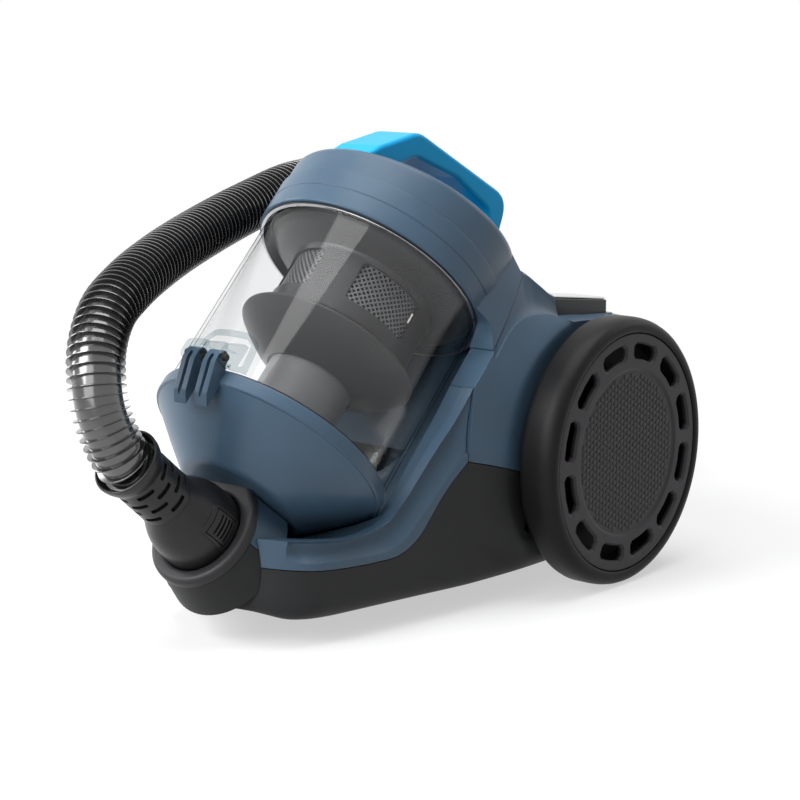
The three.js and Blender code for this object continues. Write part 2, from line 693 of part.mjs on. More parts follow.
function casterFork() {
  const plate = disc(casterWellRadius - 4, forkTop - forkPlate, forkTop, 28).translate(0, casterY, 0);
  const stem = disc(casterStemRadius, forkTop - 1, casterWellTop + wall + 2.2, 20).translate(0, casterY, 0);
  const cheek = (x) => prism('yz', rounded([
    [casterAxleY - 6, casterRadius - 6, 5], [casterAxleY + 6, casterRadius - 6, 5],
    [casterAxleY + 6, forkTop - 1], [casterY - 10, forkTop - 1]]), x - forkSide / 2, x + forkSide / 2);
  const out = casterWidth / 2 + 0.5 + forkSide / 2;
  return cut(join(plate, stem, cheek(out), cheek(-out)),
    alongX(disc(casterPinRadius + seat, -far, far, 16), casterAxleY, casterRadius));
}
const casterWheel = alongX(turned([
  [casterPinRadius + seat, -casterWidth / 2], [casterRadius - 1.5, -casterWidth / 2],
  [casterRadius, -casterWidth / 2 + 1.5], [casterRadius, casterWidth / 2 - 1.5],
  [casterRadius - 1.5, casterWidth / 2], [casterPinRadius + seat, casterWidth / 2],
], 20), casterAxleY, casterRadius);
const casterPin = alongX(disc(casterPinRadius, -casterWidth / 2 - 3.5, casterWidth / 2 + 3.5, 16),
  casterAxleY, casterRadius);
const casterClip = ring(casterStemRadius + seat, casterStemRadius + 4, casterWellTop + wall + seat,
  casterWellTop + wall + 2, 20).translate(0, casterY, 0);

// ------------------------------------------------------------ motor and cord reel
const onDrive = (geometry) => alongX(geometry, driveY, driveZ);
function motorCan() {
  const can = turned([
    [shaftRadius + seat, motorEndX - 3], [motorRadius - 3, motorEndX - 3], [motorRadius - 3, motorStartX],
    [motorRadius, motorStartX], [motorRadius, motorEndX - 2], [motorRadius - 3, motorEndX],
    [shaftRadius + seat, motorEndX],
  ], 24);
  const vents = Array.from({ length: 4 }, (_, i) => block(
    -4, 4, motorRadius - 12, motorRadius + 4, motorEndX - 30, motorEndX - 16).rotateZ((i * Math.PI) / 2));
  return onDrive(cut(can, ...vents));
}
const fanCover = onDrive(turned([
  [fanRadius * 0.4, motorStartX - 18], [motorRadius, motorStartX - 18], [motorRadius, motorStartX - seat],
  [motorRadius - 3, motorStartX - seat], [motorRadius - 3, motorStartX - 15],
  [fanRadius * 0.4, motorStartX - 15],
], 24));

function impeller() {
  const base = turned([[shaftRadius + seat, motorStartX - 4], [fanRadius, motorStartX - 4],
    [fanRadius, motorStartX - 2], [shaftRadius + seat, motorStartX - 2]], 20);
  const hub = turned([[shaftRadius + seat, motorStartX - 12], [shaftRadius + 4, motorStartX - 12],
    [shaftRadius + 6, motorStartX - 3], [shaftRadius + seat, motorStartX - 3]], 20);
  const blades = Array.from({ length: bladeCount }, (_, i) => block(
    -1, 1, shaftRadius + 5, fanRadius - 2, motorStartX - 11, motorStartX - 3)
    .rotateZ((i * 2 * Math.PI) / bladeCount));
  return onDrive(join(base, hub, ...blades));
}
const motorShaft = onDrive(disc(shaftRadius, motorStartX - 13, motorEndX - 1, 16));
const motorMount = (x) => onDrive(ring(motorRadius + seat, motorRadius + mountDepth, x, x + mountWidth, 24));

const reelDrum = onDrive(turned([
  [reelAxleRadius + seat, reelStartX], [reelRadius, reelStartX], [reelRadius, reelStartX + 2.5],
  [30, reelStartX + 2.5], [30, reelEndX - 14], [reelRadius, reelEndX - 14], [reelRadius, reelEndX - 11.5],
  [reelAxleRadius + seat, reelEndX - 11.5],
], 24));
const reelSpringCase = onDrive(turned([
  [reelAxleRadius + seat, reelEndX - 10.5], [34, reelEndX - 10.5], [34, reelWallX - seat],
  [reelAxleRadius + seat, reelWallX - seat],
], 20));
const reelAxle = onDrive(disc(reelAxleRadius, reelStartX - 4, reelWallX + 2.7, 20));

const controlBoard = block(-30, 30, -88, -60, boardZ, boardZ + 1.6);

// ------------------------------------------------------------ pedals
const pedalTopAt = (y) => pedalTopZ - pedalFall * ((y - pedalStartY) / (pedalEndY - pedalStartY));

// A slab under the pedal's sloping top, drawn in at its edges, between two depths.
function pedalSlab(inset, low, high) {
  const [front, back] = [pedalStartY + inset, pedalEndY - inset];
  return prism('yz', [[front, pedalTopAt(front) + low], [back, pedalTopAt(back) + low],
    [back, pedalTopAt(back) + high], [front, pedalTopAt(front) + high]],
  pedalX - pedalHalfWidth + inset, pedalX + pedalHalfWidth - inset);
}
function pedal() {
  const middle = (pedalStartY + pedalEndY) / 2;
  return join(pedalSlab(0, -pedalDepth, 0), block(pedalX - 4, pedalX + 4, middle - 4, middle + 4,
    pedalTopAt(middle) - 26, pedalTopAt(middle) - 12));
}
const pedalCover = () => pedalSlab(1, seat, seat + pedalPlate);
const pedalStemFoot = pedalTopZ - pedalFall / 2 - 26;
const switchTop = pedalStemFoot - pedalTravel - 0.5;
const powerSwitch = block(-pedalX - 12, -pedalX + 12, 2, 22, switchTop - switchHigh, switchTop);
const switchShelf = block(-bodyHalfWidth + 1, -pedalX + 14, 0, 24, switchTop - switchHigh - seat - 3,
  switchTop - switchHigh - seat);

// ------------------------------------------------------------ exhaust
function exhaustGrille() {
  const plate = block(-grilleHalfWidth, grilleHalfWidth, bodyRearY - grilleDepth, bodyRearY + 1,
    grilleLow, grilleHigh);
  const slots = [-1.5, -0.5, 0.5, 1.5].flatMap((row) => [-1, 1].map((side) => block(
    side * grilleHalfWidth * 0.5 - 22, side * grilleHalfWidth * 0.5 + 22, 0, far,
    (grilleLow + grilleHigh) / 2 + row * 9 - 2.5, (grilleLow + grilleHigh) / 2 + row * 9 + 2.5)));
  return cut(plate, ...slots);
}
function exhaustFilter() {
  const pleats = 14;
  const front = bodyRearY - grilleDepth - seat;
  const outline = [[-grilleHalfWidth + 2, front]];
  for (let i = 0; i <= 2 * pleats; i += 1) {
    const x = -grilleHalfWidth + 2 + ((2 * grilleHalfWidth - 4) * i) / (2 * pleats);
    outline.push([x, front - (i % 2 ? 14 : 5)]);
  }
  outline.push([grilleHalfWidth - 2, front]);
  return prism('xy', outline, grilleLow + 1, grilleHigh - 1);
}
const cordOutlet = cut(
  join(cordWay(cordBushRadius, 76, 95), cordWay(cordBushRadius + 2.5, cordBushFace, 95)),
  cordWay(4.5, 0, far));

// ------------------------------------------------------------ dust bin
const knuckleX = [-8, 8];
const pinHole = (extra) => alongX(disc(hingePinRadius + extra, -far, far, 16), -hingeOffset, hingeHeight);

function binTube() {
  const body = ring(tubeRadius - tubeWall, tubeRadius, tubeStart, tubeEnd, 36);
  const lug = (x) => prism('yz', rounded([[-tubeRadius + 1, 27.6], [-flapRadius - 1.2, 27.6],
    [-flapRadius - 2.2, 24.8], [-hingeOffset - 5, 24.8, 4],
    [-hingeOffset - 5, hingeHeight + 7, 5], [-tubeRadius + 1, hingeHeight + 18]]),
  x - hingeLug / 2, x + hingeLug / 2);
  const roofHalf = 16 + hingeLug / 2;
  const roof = prism('yz', [[-tubeRadius + 1, hingeHeight + 11.5], [-hingeOffset - 1, hingeHeight + 7],
    [-hingeOffset - 2, hingeHeight + 9.5], [-tubeRadius + 1, hingeHeight + 17]], -roofHalf, roofHalf);
  const lugs = cut(join(lug(-16), lug(0), lug(16), roof), disc(tubeRadius - 1, 0, 60, 36));
  return cut(join(body, lugs), pinHole(seat));
}

function binFlap() {
  const low = flapTop - flapBand;
  const shell = turned([
    [0, flapFloor], [flapFloorRadius, flapFloor], [flapRadius, low], [flapRadius, flapTop - 1],
    [flapRadius - 1, flapTop], [tubeRadius - 6, flapTop], [tubeRadius - 6, low + 2],
    [flapFloorRadius - 1, flapFloor + wall], [0, flapFloor + wall],
  ], 36);
  const arm = (x) => prism('yz', rounded([[-flapRadius + 3, -2], [-flapRadius - 6, 14, 14],
    [-hingeOffset - 4.2, hingeHeight - 3, 4], [-hingeOffset - 2.5, hingeHeight + 4.2, 3],
    [-hingeOffset + 3.6, hingeHeight + 4.2, 3], [-flapRadius - 1.5, flapTop + 2],
    [-flapRadius + 3, flapTop - 3]]),
  x - knuckleHalf, x + knuckleHalf);
  const arms = cut(join(...knuckleX.map(arm)), disc(tubeRadius + 1.4, flapTop + 0.1, 60, 36),
    disc(flapRadius - 2, low, flapTop + 1, 36),
    turned([[0, flapFloor - 1], [flapFloorRadius - 1, flapFloor], [flapRadius - 1, low], [0, low]], 36));
  const grooves = knuckleX.map((x) => prism('yz', [[-flapRadius - 20, -10], [-flapRadius - 3.2, 2],
    [-flapRadius - 4.6, 22], [-flapRadius - 20, 26]], x - 1.2, x + 1.2));
  return cut(join(shell, arms), pinHole(seat), ...grooves);
}
const flapSeal = ring(tubeRadius - tubeWall - 2.4, tubeRadius - 0.4, flapTop + seat, tubeStart - seat, 30);
const hingePin = alongX(disc(hingePinRadius, -18.4, 18.4, 16), -hingeOffset, hingeHeight);

function shroud() {
  const wallOf = cut(
    turned([[shroudRadius - 2, shroudEnd], [shroudRadius, shroudEnd], [shroudRadius, partition - seat],
      [shroudRadius - 2, partition - seat]], 30));
  const window = block(-27, 27, 20, far, shroudEnd + 12, shroudEnd + 46);
  const windows = Array.from({ length: windowCount }, (_, i) => window.clone().rotateZ(
    ((i + 0.5) * 2 * Math.PI) / windowCount + 0.35));
  return cut(wallOf, ...windows);
}
const mesh = ring(shroudRadius - 3.6, shroudRadius - 2 - seat, shroudEnd + 8, shroudEnd + 50, 30);
const skirt = turned([
  [dustTubeRadius + seat, 77], [dustTubeRadius + 2, 76], [skirtRadius, skirtEdge],
  [skirtRadius, skirtEdge + 1.6],
  [shroudRadius, shroudEnd - seat], [shroudRadius - 3, shroudEnd - seat], [dustTubeRadius + seat, 82],
], 30);
const dustTube = ring(dustTubeRadius - 2, dustTubeRadius, flapFloor + wall + 0.6, 84, 30);

const lidTopAt = (behind) => collarEnd + lidRise * behind;

// Tilts the lid's top: the higher a point is in its upper band, the more it moves.
function tilted(geometry, start) {
  const place = geometry.attributes.position;
  for (let i = 0; i < place.count; i += 1) {
    const share = THREE.MathUtils.clamp((place.getZ(i) - start) / (collarEnd - start), 0, 1);
    place.setZ(i, place.getZ(i) + share * lidRise * place.getY(i));
  }
  return geometry;
}

// The wings that run back from the lid to the housing, on both sides.
function lidWings() {
  const face = housingFace - 2 * seat;
  const wing = prism('xy', rounded([[60, 0], [collarRadius - 1, 4, 2], [bodyHalfWidth + 4, 32, 12],
    [bodyHalfWidth + 4, face], [52, face]]), collarStart - 18, collarEnd + 8);
  const belowWing = [[-40, collarStart - 20], [face + 1, collarStart - 20], [face + 1, collarStart - 17],
    [10, collarStart + 2], [-40, collarStart + 2]];
  const aboveWing = [[face + 1, collarEnd - 8], [42.8, collarEnd - 5], [36.2, collarEnd - 2.6],
    [28, collarEnd - 0.6], [0, collarEnd - 2.5], [0, highUp], [face + 1, highUp]];
  const free = cut(join(...bothSides(wing)),
    disc(collarRadius - 2, collarStart + 0.1, collarEnd - 6, 36),
    disc(collarRadius - 7, collarEnd - 7, highUp, 36),
    disc(collarRadius - 2 + seat, 0, collarStart + 0.2, 36),
    prism('yz', belowWing, ...wholeWidth),
    prism('yz', aboveWing, ...wholeWidth));
  return meet(free, outer.clone().applyMatrix4(binFrame.clone().invert()));
}

function lidCollar() {
  const shell = tilted(turned([
    [collarRadius - 0.8, collarStart], [collarRadius, collarStart + 9], [collarRadius, collarStart + 28],
    [collarRadius - 1.4, collarStart + 29], [collarRadius - 1.6, collarEnd - 6],
    [collarRadius - 3, collarEnd - 1.6], [collarRadius - 7, collarEnd], [0, collarEnd],
    [0, collarEnd - wall], [collarRadius - 9, collarEnd - wall], [collarRadius - 5, collarEnd - 10],
    [collarRadius - 5, partition + wall], [partitionHole, partition + wall], [partitionHole, partition],
    [collarRadius - 7, partition], [collarRadius - 7, tubeEnd + seat], [tubeRadius + seat, tubeEnd + seat],
    [tubeRadius + seat, collarStart],
  ], 36), collarStart + 29);
  return cut(join(shell, lidWings()), block(-portWidth / 2, portWidth / 2, 60, 112, portStart, portEnd));
}
const lidTrim = ring(tubeRadius + seat, collarRadius - 2, collarStart - 2, collarStart - seat, 36);

// Side view of the carry handle, behind the bin axis and up it.
const handleRearFoot = 62;
function carryHandle() {
  const footAt = (behind) => [behind, lidTopAt(behind) + seat];
  const outline = rounded([
    footAt(-77), [-72, collarEnd + 4, 3], [-49, 257, 9], [61, 299, 12], [75, 262, 30],
    footAt(76), footAt(64), [handleRearFoot, 262, 14], [54, 283, 9], [-41, 243, 8], footAt(-58)], 4);
  const band = prism('yz', outline, -handleHalfWidth, handleHalfWidth);
  const rearTrim = block(-far, far, handleRearFoot, far, 0, highUp);
  return cut(band, meet(latchPocket(seat), rearTrim));
}
const latchPocket = (extra) => block(-latchHalfWidth - extra, latchHalfWidth + extra, 69.5 - extra, 82,
  latchLow - extra, latchHigh + extra);
const releaseButton = block(-latchHalfWidth, latchHalfWidth, 69.5 + latchTravel, 79, latchLow, latchHigh);

const filterFrame = turned([
  [partitionHole + 2, partition + wall + seat], [collarRadius - 5 - seat, partition + wall + seat],
  [collarRadius - 5 - seat, partition + wall + 5], [collarRadius - 8, partition + wall + 5],
  [collarRadius - 8, partition + wall + 2.3], [partitionHole + 2, partition + wall + 2.3],
], 36);
const foamFilter = disc(collarRadius - 9, partition + wall + 2.6, partition + wall + 18, 28);

// ------------------------------------------------------------ hose swivel
const cuffTail = -20;
function cuffBody() {
  const body = turned([
    [hoseBore, cuffTail], [bulbRadius - 6, cuffTail], [bulbRadius - 6, -4], [bulbRadius, -2],
    [bulbRadius, 12],
    [bulbRadius - 1.5, 20], [bulbRadius - 8, 34], [sleeveRadius, sleeveStart],
    [hoseBore, sleeveStart],
  ], 28);
  return cut(body, ...bothSides(cuffButtonPocket(seat)));
}
const buttonHeight = [2, 20];
const cuffButtonPocket = (extra) => block(
  bulbRadius - 6 - extra, far, -buttonHalf - extra, buttonHalf + extra,
  buttonHeight[0] - extra, buttonHeight[1] + extra);
function cuffButton() {
  const body = meet(block(bulbRadius - 6 + buttonTravel, far, -buttonHalf, buttonHalf, ...buttonHeight),
    disc(bulbRadius + 0.8, buttonHeight[0] - 2, buttonHeight[1] + 2, 32));
  const grooves = [6.5, 11, 15.5].map((z) => block(bulbRadius - 0.6, far, -far, far, z - 0.7, z + 0.7));
  return cut(body, ...grooves);
}

function cuffSleeve() {
  const body = turned([
    [hoseRadius - 1.6, sleeveStart + seat], [sleeveRadius, sleeveStart + seat],
    [sleeveRadius + 0.4, sleeveEnd - 6], [sleeveRadius + 2.2, sleeveEnd - 3],
    [sleeveRadius + 3.4, sleeveEnd + 8], [sleeveRadius + 0.6, sleeveEnd + 8],
    [sleeveRadius + 0.6, sleeveEnd], [hoseRadius - 1.6, sleeveEnd],
  ], 24);
  const slots = [0, 1, 2].flatMap((row) => [0, 1].map((i) => block(-13, 13, 8, far, sleeveStart + 6 + row * 9,
    sleeveStart + 10 + row * 9).rotateZ((i + row / 2) * Math.PI)));
  return cut(body, ...slots);
}

// ------------------------------------------------------------ hose
const hosePoint = (height) => new THREE.Vector3(0, 0, height).applyMatrix4(swivelFrame).toArray();
const hoseRoute = [
  hosePoint(sleeveEnd + seat), hosePoint(sleeveEnd + 12),
  [-2, -364, 146], [-6, -368, 163], [-10, -367, 179], [-18, -359, 198], [-29, -340, 217], [-44, -308, 229],
  [-66, -258, 240], [-88, -200, 250], [-109, -128, 262], [-124, -59, 272], [-143, 18, 268], [-162, 78, 232],
  [-190, 122, 172], [-217, 154, 106], [-238, 186, 53], [-250, 226, 22], [-252, 266, 19], [-236, 314, 19],
  [-198, 347, 19], [-150, 356, 19], [-104, 344, 19], [-70, 312, 19], [-54, 268, 19], [-60, 222, 19],
  [-86, 184, 19], [-124, 164, 19], [-158, 162, 19],
];
const hose = tube(hoseRoute, hoseRadius, 0, 8, 72);

// The grip at the hose's far end lies on the floor behind the machine.
const hoseEnd = new THREE.Vector3(...hoseRoute[hoseRoute.length - 1]);
const hoseEndWay = hoseEnd.clone().sub(new THREE.Vector3(...hoseRoute[hoseRoute.length - 2])).normalize();
const gripTurn = Math.atan2(hoseEndWay.y, hoseEndWay.x);
const gripGroup = new THREE.Group();
gripGroup.position.copy(hoseEnd);
gripGroup.rotation.z = gripTurn;
machine.add(gripGroup);

function hoseGrip() {
  const bend = tube([[24, 0, 0], [50, 0, 0], [80, 0, 3], [gripLength, 0, 14]], gripRadius, gripBore, 16, 5);
  const socket = turned([[gripBore - 1, seat], [hoseRadius, seat], [hoseRadius, 20], [gripRadius, 26],
    [gripBore - 1, 26]], 16)
    .rotateY(Math.PI / 2);
  return cut(join(bend, socket), sliderPocket(seat));
}
const sliderPocket = (extra) => block(
  40 - extra, 40 + sliderLength + sliderTravel + extra, -6 - extra, 6 + extra,
  gripBore - 3, 40);
const slider = block(40, 40 + sliderLength, -6, 6, gripBore + 0.6, gripRadius + 2);

// ------------------------------------------------------------ assembly
piece('base_pan', basePan(), finish.black);
piece('front_deck', frontDeck(), finish.blue);
piece('rear_housing', rearHousing(), finish.blue);
piece('nose_housing', noseHousing(), finish.grey);
piece('intake_duct', tube(ductRoute, ductRadius, ductBore, 10, 14), finish.black);
bigWheels();
piece('caster_fork', casterFork(), finish.black);
piece('caster_wheel', casterWheel, finish.rubber);
piece('caster_pin', casterPin, finish.steel);
piece('caster_clip', casterClip, finish.steel);
piece('motor_can', motorCan(), finish.steel);
piece('fan_cover', fanCover, finish.steel);
piece('impeller', impeller(), finish.steel);
piece('motor_shaft', motorShaft, finish.steel);
piece('motor_mount_front', motorMount(mountPlaces[0]), finish.rubber);
piece('motor_mount_rear', motorMount(mountPlaces[1]), finish.rubber);
piece('reel_drum', reelDrum, finish.grey);
piece('reel_spring_case', reelSpringCase, finish.black);
piece('reel_axle', reelAxle, finish.steel);
piece('control_board', controlBoard, finish.board);
piece('power_switch', powerSwitch, finish.black);
piece('rewind_pedal', pedal(), finish.black);
piece('rewind_pedal_plate', pedalCover(), finish.chrome);
piece('power_pedal', mirrored(pedal()), finish.black);
piece('power_pedal_plate', mirrored(pedalCover()), finish.chrome);
piece('exhaust_grille', exhaustGrille(), finish.black);
piece('exhaust_filter', exhaustFilter(), finish.paper);
piece('cord_outlet', cordOutlet, finish.black);
screwPlaces.forEach(([x, y], i) => piece(`base_screw_${i + 1}`,
  disc(screwRadius, bodyBottomZ + 0.4, bodyBottomZ + 5.5, 12).translate(x, y, 0), finish.steel));

piece('bin_tube', binTube(), finish.clear, binGroup);
piece('bin_flap', binFlap(), finish.blue, binGroup);
piece('flap_seal', flapSeal, finish.rubber, binGroup);
piece('hinge_pin', hingePin, finish.steel, binGroup);
piece('cyclone_shroud', shroud(), finish.smoke, binGroup);
piece('cyclone_mesh', mesh, finish.grey, binGroup);
piece('cyclone_skirt', skirt, finish.smoke, binGroup);
piece('dust_tube', dustTube, finish.smoke, binGroup);
piece('lid_collar', lidCollar(), finish.blue, binGroup);
piece('lid_trim', lidTrim, finish.black, binGroup);
piece('carry_handle', carryHandle(), finish.bright, binGroup);
piece('release_button', releaseButton, finish.bright, binGroup);
piece('filter_frame', filterFrame, finish.black, binGroup);
piece('foam_filter', foamFilter, finish.foam, binGroup);

piece('cuff_body', cuffBody(), finish.black, swivelGroup);
piece('cuff_sleeve', cuffSleeve(), finish.black, swivelGroup);
piece('cuff_button_right', cuffButton(), finish.black, swivelGroup);
piece('cuff_button_left', mirrored(cuffButton()), finish.black, swivelGroup);
piece('hose', hose, finish.black);
piece('hose_grip', hoseGrip(), finish.black, gripGroup);
piece('suction_slider', slider, finish.grey, gripGroup);

// The origin goes below the middle of the machine, without the hose and its grip.
const loose = new Set(['hose', 'hose_grip', 'suction_slider']);
machine.updateMatrixWorld(true);
const extent = new THREE.Box3();
machine.traverse((node) => {
  if (node.isMesh && !loose.has(node.name)) extent.expandByObject(node, true);
});
machine.position.set(-(extent.min.x + extent.max.x) / 2, -(extent.min.y + extent.max.y) / 2, -extent.min.z);

export default machine;
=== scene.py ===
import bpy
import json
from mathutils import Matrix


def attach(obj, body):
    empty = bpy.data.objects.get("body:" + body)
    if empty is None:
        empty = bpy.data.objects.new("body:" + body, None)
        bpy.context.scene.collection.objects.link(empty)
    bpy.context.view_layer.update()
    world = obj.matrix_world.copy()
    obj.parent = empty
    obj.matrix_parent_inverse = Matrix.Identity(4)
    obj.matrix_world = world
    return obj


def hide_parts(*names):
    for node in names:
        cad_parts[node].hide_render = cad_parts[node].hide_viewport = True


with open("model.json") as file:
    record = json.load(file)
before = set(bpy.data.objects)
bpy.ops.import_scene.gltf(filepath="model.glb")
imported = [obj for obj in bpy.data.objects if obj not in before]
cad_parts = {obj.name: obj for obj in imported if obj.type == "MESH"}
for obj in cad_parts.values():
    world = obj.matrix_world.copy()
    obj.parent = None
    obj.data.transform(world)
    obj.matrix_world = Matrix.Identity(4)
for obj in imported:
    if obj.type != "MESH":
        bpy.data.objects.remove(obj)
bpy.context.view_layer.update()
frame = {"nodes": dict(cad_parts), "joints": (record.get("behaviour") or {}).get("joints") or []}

import json
from math import acos, atan2, cos, degrees, hypot, pi, radians, sin, sqrt, tan
import bmesh
import bpy
from mathutils import Matrix, Vector

# Shapes are made in millimetres about the point on the floor under the rear axle, as the part's source does.
MM = 0.001
AXLE_Y = next(joint["pos_m"][1] for joint in frame["joints"] if joint["name"] == "wheel_right_spin")
TO_ROW = Matrix.Translation((0, AXLE_Y, 0)) @ Matrix.Scale(MM, 4)
scene = bpy.context.scene

# The gap between parts that sit together, the bin's running clearance, and the walls of the mouldings.
SEAT, RUNNING, WALL = 0.3, 1.5, 2.6
BIN_LEAN = radians(44.87)
BIN = Matrix.Translation((0, -239.6, 102.3)) @ Matrix.Rotation(-BIN_LEAN, 4, "X")
SWIVEL = Matrix.Translation((0, -291, 75)) @ Matrix.Rotation(radians(49), 4, "X")
WHEEL_R = 95


def to_row(point):
    return TO_ROW @ Vector(point)


# ---- camera
target = to_row((18.73, -113.51, 135.27))
azimuth, elevation, distance = radians(39.72), radians(10.85), 1.5
outward = Vector((sin(azimuth) * cos(elevation), -cos(azimuth) * cos(elevation), sin(elevation)))
lens = bpy.data.cameras.new("camera")
lens.sensor_width = 36
lens.lens = 97.78
lens.clip_end = 60
camera = bpy.data.objects.new("camera", lens)
camera.location = target + outward * distance
camera.rotation_euler = (-outward).to_track_quat("-Z", "Y").to_euler()
scene.collection.objects.link(camera)
scene.camera = camera


# ---- materials
PATCH_SCALE = 40
GLOSS_SPREAD = 0.12
COAT_ROUGHNESS = 0.12
CLEAR_BASE_REFLECTION = 0.018
CLEAR_EDGE_START = 0.86


def fill(tree, node, values):
    """Gives a node's inputs plain values, or links them to other nodes' outputs."""
    for name, value in values.items():
        if isinstance(value, bpy.types.NodeSocket):
            tree.links.new(value, node.inputs[name])
        else:
            node.inputs[name].default_value = value
    return node


def empty_tree(owner):
    owner.use_nodes = True
    owner.node_tree.nodes.clear()
    return owner.node_tree


def add_node(tree, kind, values=None, **settings):
    node = tree.nodes.new("ShaderNode" + kind)
    for name, value in settings.items():
        setattr(node, name, value)
    return fill(tree, node, values or {})


def arithmetic(tree, operation, *values):
    """One step of arithmetic on numbers or sockets."""
    return add_node(tree, "Math", dict(enumerate(values)), operation=operation).outputs["Value"]


def between(tree, share, low, high, start=0.0, end=1.0):
    """A colour that goes from low to high as the share goes from start to end."""
    ramp = add_node(tree, "ValToRGB", {"Fac": share})
    for element, place, colour in zip(ramp.color_ramp.elements, (start, end), (low, high)):
        element.position = place
        element.color = (*colour, 1)
    return ramp.outputs["Color"]


def material(name, colour, roughness=0.4, grain=0.0, grain_size=0.8, vary=0.06, metal=0.0, coat=0.0,
             specular=0.5, edge=0.0):
    """A moulded surface: slow colour and gloss variation, fine grain, and softened edges."""
    made = bpy.data.materials.new(name)
    made.use_nodes = True
    tree = made.node_tree
    place = add_node(tree, "TexCoord").outputs["Object"]
    slow = add_node(tree, "TexNoise", {"Vector": place, "Scale": PATCH_SCALE, "Detail": 3}).outputs["Fac"]
    gloss = add_node(tree, "MapRange", {"Value": slow, "To Min": roughness * (1 - GLOSS_SPREAD),
                                        "To Max": min(1, roughness * (1 + GLOSS_SPREAD))})
    low, high = ([c * (1 + change) for c in colour] for change in (-vary, vary))
    shader = fill(tree, tree.nodes["Principled BSDF"], {
        "Base Color": between(tree, slow, low, high, 0.3, 0.7), "Roughness": gloss.outputs["Result"],
        "Metallic": metal, "Specular IOR Level": specular, "Coat Weight": coat,
        "Coat Roughness": COAT_ROUGHNESS})
    normal = None
    if edge:
        normal = add_node(tree, "Bevel", {"Radius": edge * MM}, samples=4).outputs["Normal"]
    if grain:
        fine = add_node(tree, "TexNoise", {"Vector": place, "Scale": 1 / (grain_size * MM), "Detail": 2})
        height = fine.outputs["Fac"]
        bump = add_node(tree, "Bump", {"Strength": 0.5, "Distance": grain * MM, "Height": height})
        if normal:
            fill(tree, bump, {"Normal": normal})
        normal = bump.outputs["Normal"]
    if normal:
        fill(tree, shader, {"Normal": normal})
    return made


def clear_material(name, tint, gloss, reflect, rim):
    """A clear moulding, darker and more reflecting where it turns away."""
    made = bpy.data.materials.new(name)
    tree = empty_tree(made)
    place = add_node(tree, "TexCoord").outputs["Object"]
    patches = add_node(tree, "TexNoise", {"Vector": place, "Scale": 18}).outputs["Fac"]
    facing = add_node(tree, "LayerWeight", {"Blend": 0.5}).outputs["Facing"]
    limits = {"From Min": CLEAR_EDGE_START, "To Min": 1.0, "To Max": rim}
    depth = add_node(tree, "MapRange", {"Value": facing, **limits})
    deeper = add_node(tree, "VectorMath", {0: between(tree, patches, [c * 0.985 for c in tint], tint),
                                           "Scale": depth.outputs["Result"]}, operation="SCALE")
    through = add_node(tree, "BsdfTransparent", {"Color": deeper.outputs["Vector"]})
    shine = add_node(tree, "BsdfGlossy", {"Roughness": gloss, "Color": (1, 1, 1, 1)})
    steep = arithmetic(tree, "POWER", facing, 4)
    share = arithmetic(tree, "MULTIPLY_ADD", steep, reflect, CLEAR_BASE_REFLECTION)
    mix = add_node(tree, "MixShader", {"Fac": share, 1: through.outputs["BSDF"], 2: shine.outputs["BSDF"]})
    add_node(tree, "OutputMaterial", {"Surface": mix.outputs["Shader"]})
    return made


BLUE = material("steel_blue", (0.054, 0.097, 0.147), 0.32, 0.02, 0.5, 0.05, specular=0.3, edge=0.7)
BRIGHT = material("bright_blue", (0.002, 0.36, 0.72), 0.34, 0.01, 0.6, 0.03, specular=0.15, edge=0.6)
BLACK = material("black_grain", (0.018, 0.0185, 0.0195), 0.5, 0.05, 0.55, 0.12, specular=0.2, edge=0.6)
SATIN = material("black_satin", (0.012, 0.012, 0.013), 0.34, 0.02, 0.4, 0.1, specular=0.3, edge=0.5)
GREY = material("dark_grey", (0.026, 0.026, 0.028), 0.42, 0.03, 0.5, 0.08, specular=0.22, edge=0.6)
HUB = material("hub_grey", (0.034, 0.031, 0.034), 0.46, 0.03, 0.5, 0.08, specular=0.2, edge=0.5)
HUB_CELL = material("hub_cells", (0.026, 0.024, 0.026), 0.42, 0.02, 0.5, 0.1, specular=0.22)
TYRE = material("tyre_rubber", (0.0085, 0.0085, 0.009), 0.42, 0.04, 0.6, 0.15, specular=0.12, edge=0.5)
SEAL = material("seal_rubber", (0.014, 0.014, 0.015), 0.6, 0.05, 0.5, 0.15, specular=0.2)
SMOKE = material("smoke_plastic", (0.05, 0.05, 0.052), 0.34, 0.0, 0.5, 0.05, specular=0.2)
PIPE = material("pipe_plastic", (0.16, 0.16, 0.165), 0.35, 0.0, 0.5, 0.05, specular=0.3)
MESH = material("filter_mesh", (0.16, 0.16, 0.165), 0.4, 0.02, 0.4, 0.1, metal=0.4)
STEEL = material("bright_steel", (0.5, 0.5, 0.51), 0.28, 0.02, 0.3, 0.06, metal=1.0)
CHROME = material("chrome", (0.55, 0.55, 0.56), 0.16, 0.0, 0.5, 0.03, metal=1.0)
HOSE = material("hose_black", (0.012, 0.0122, 0.0127), 0.2, 0.0, 0.5, 0.12, specular=1.0, coat=0.8)
FOAM = material("filter_foam", (0.03, 0.06, 0.12), 0.95, 0.6, 1.6, 0.3)
PAPER = material("filter_paper", (0.72, 0.7, 0.64), 0.9, 0.1, 0.6, 0.05)
BOARD = material("circuit_board", (0.02, 0.13, 0.05), 0.5, 0.02, 0.6, 0.1)
CLEAR = clear_material("clear_plastic", (0.975, 0.978, 0.98), 0.03, 0.25, 0.12)
CLEAR_THICK = clear_material("clear_bracket", (0.84, 0.87, 0.88), 0.05, 0.5, 0.04)


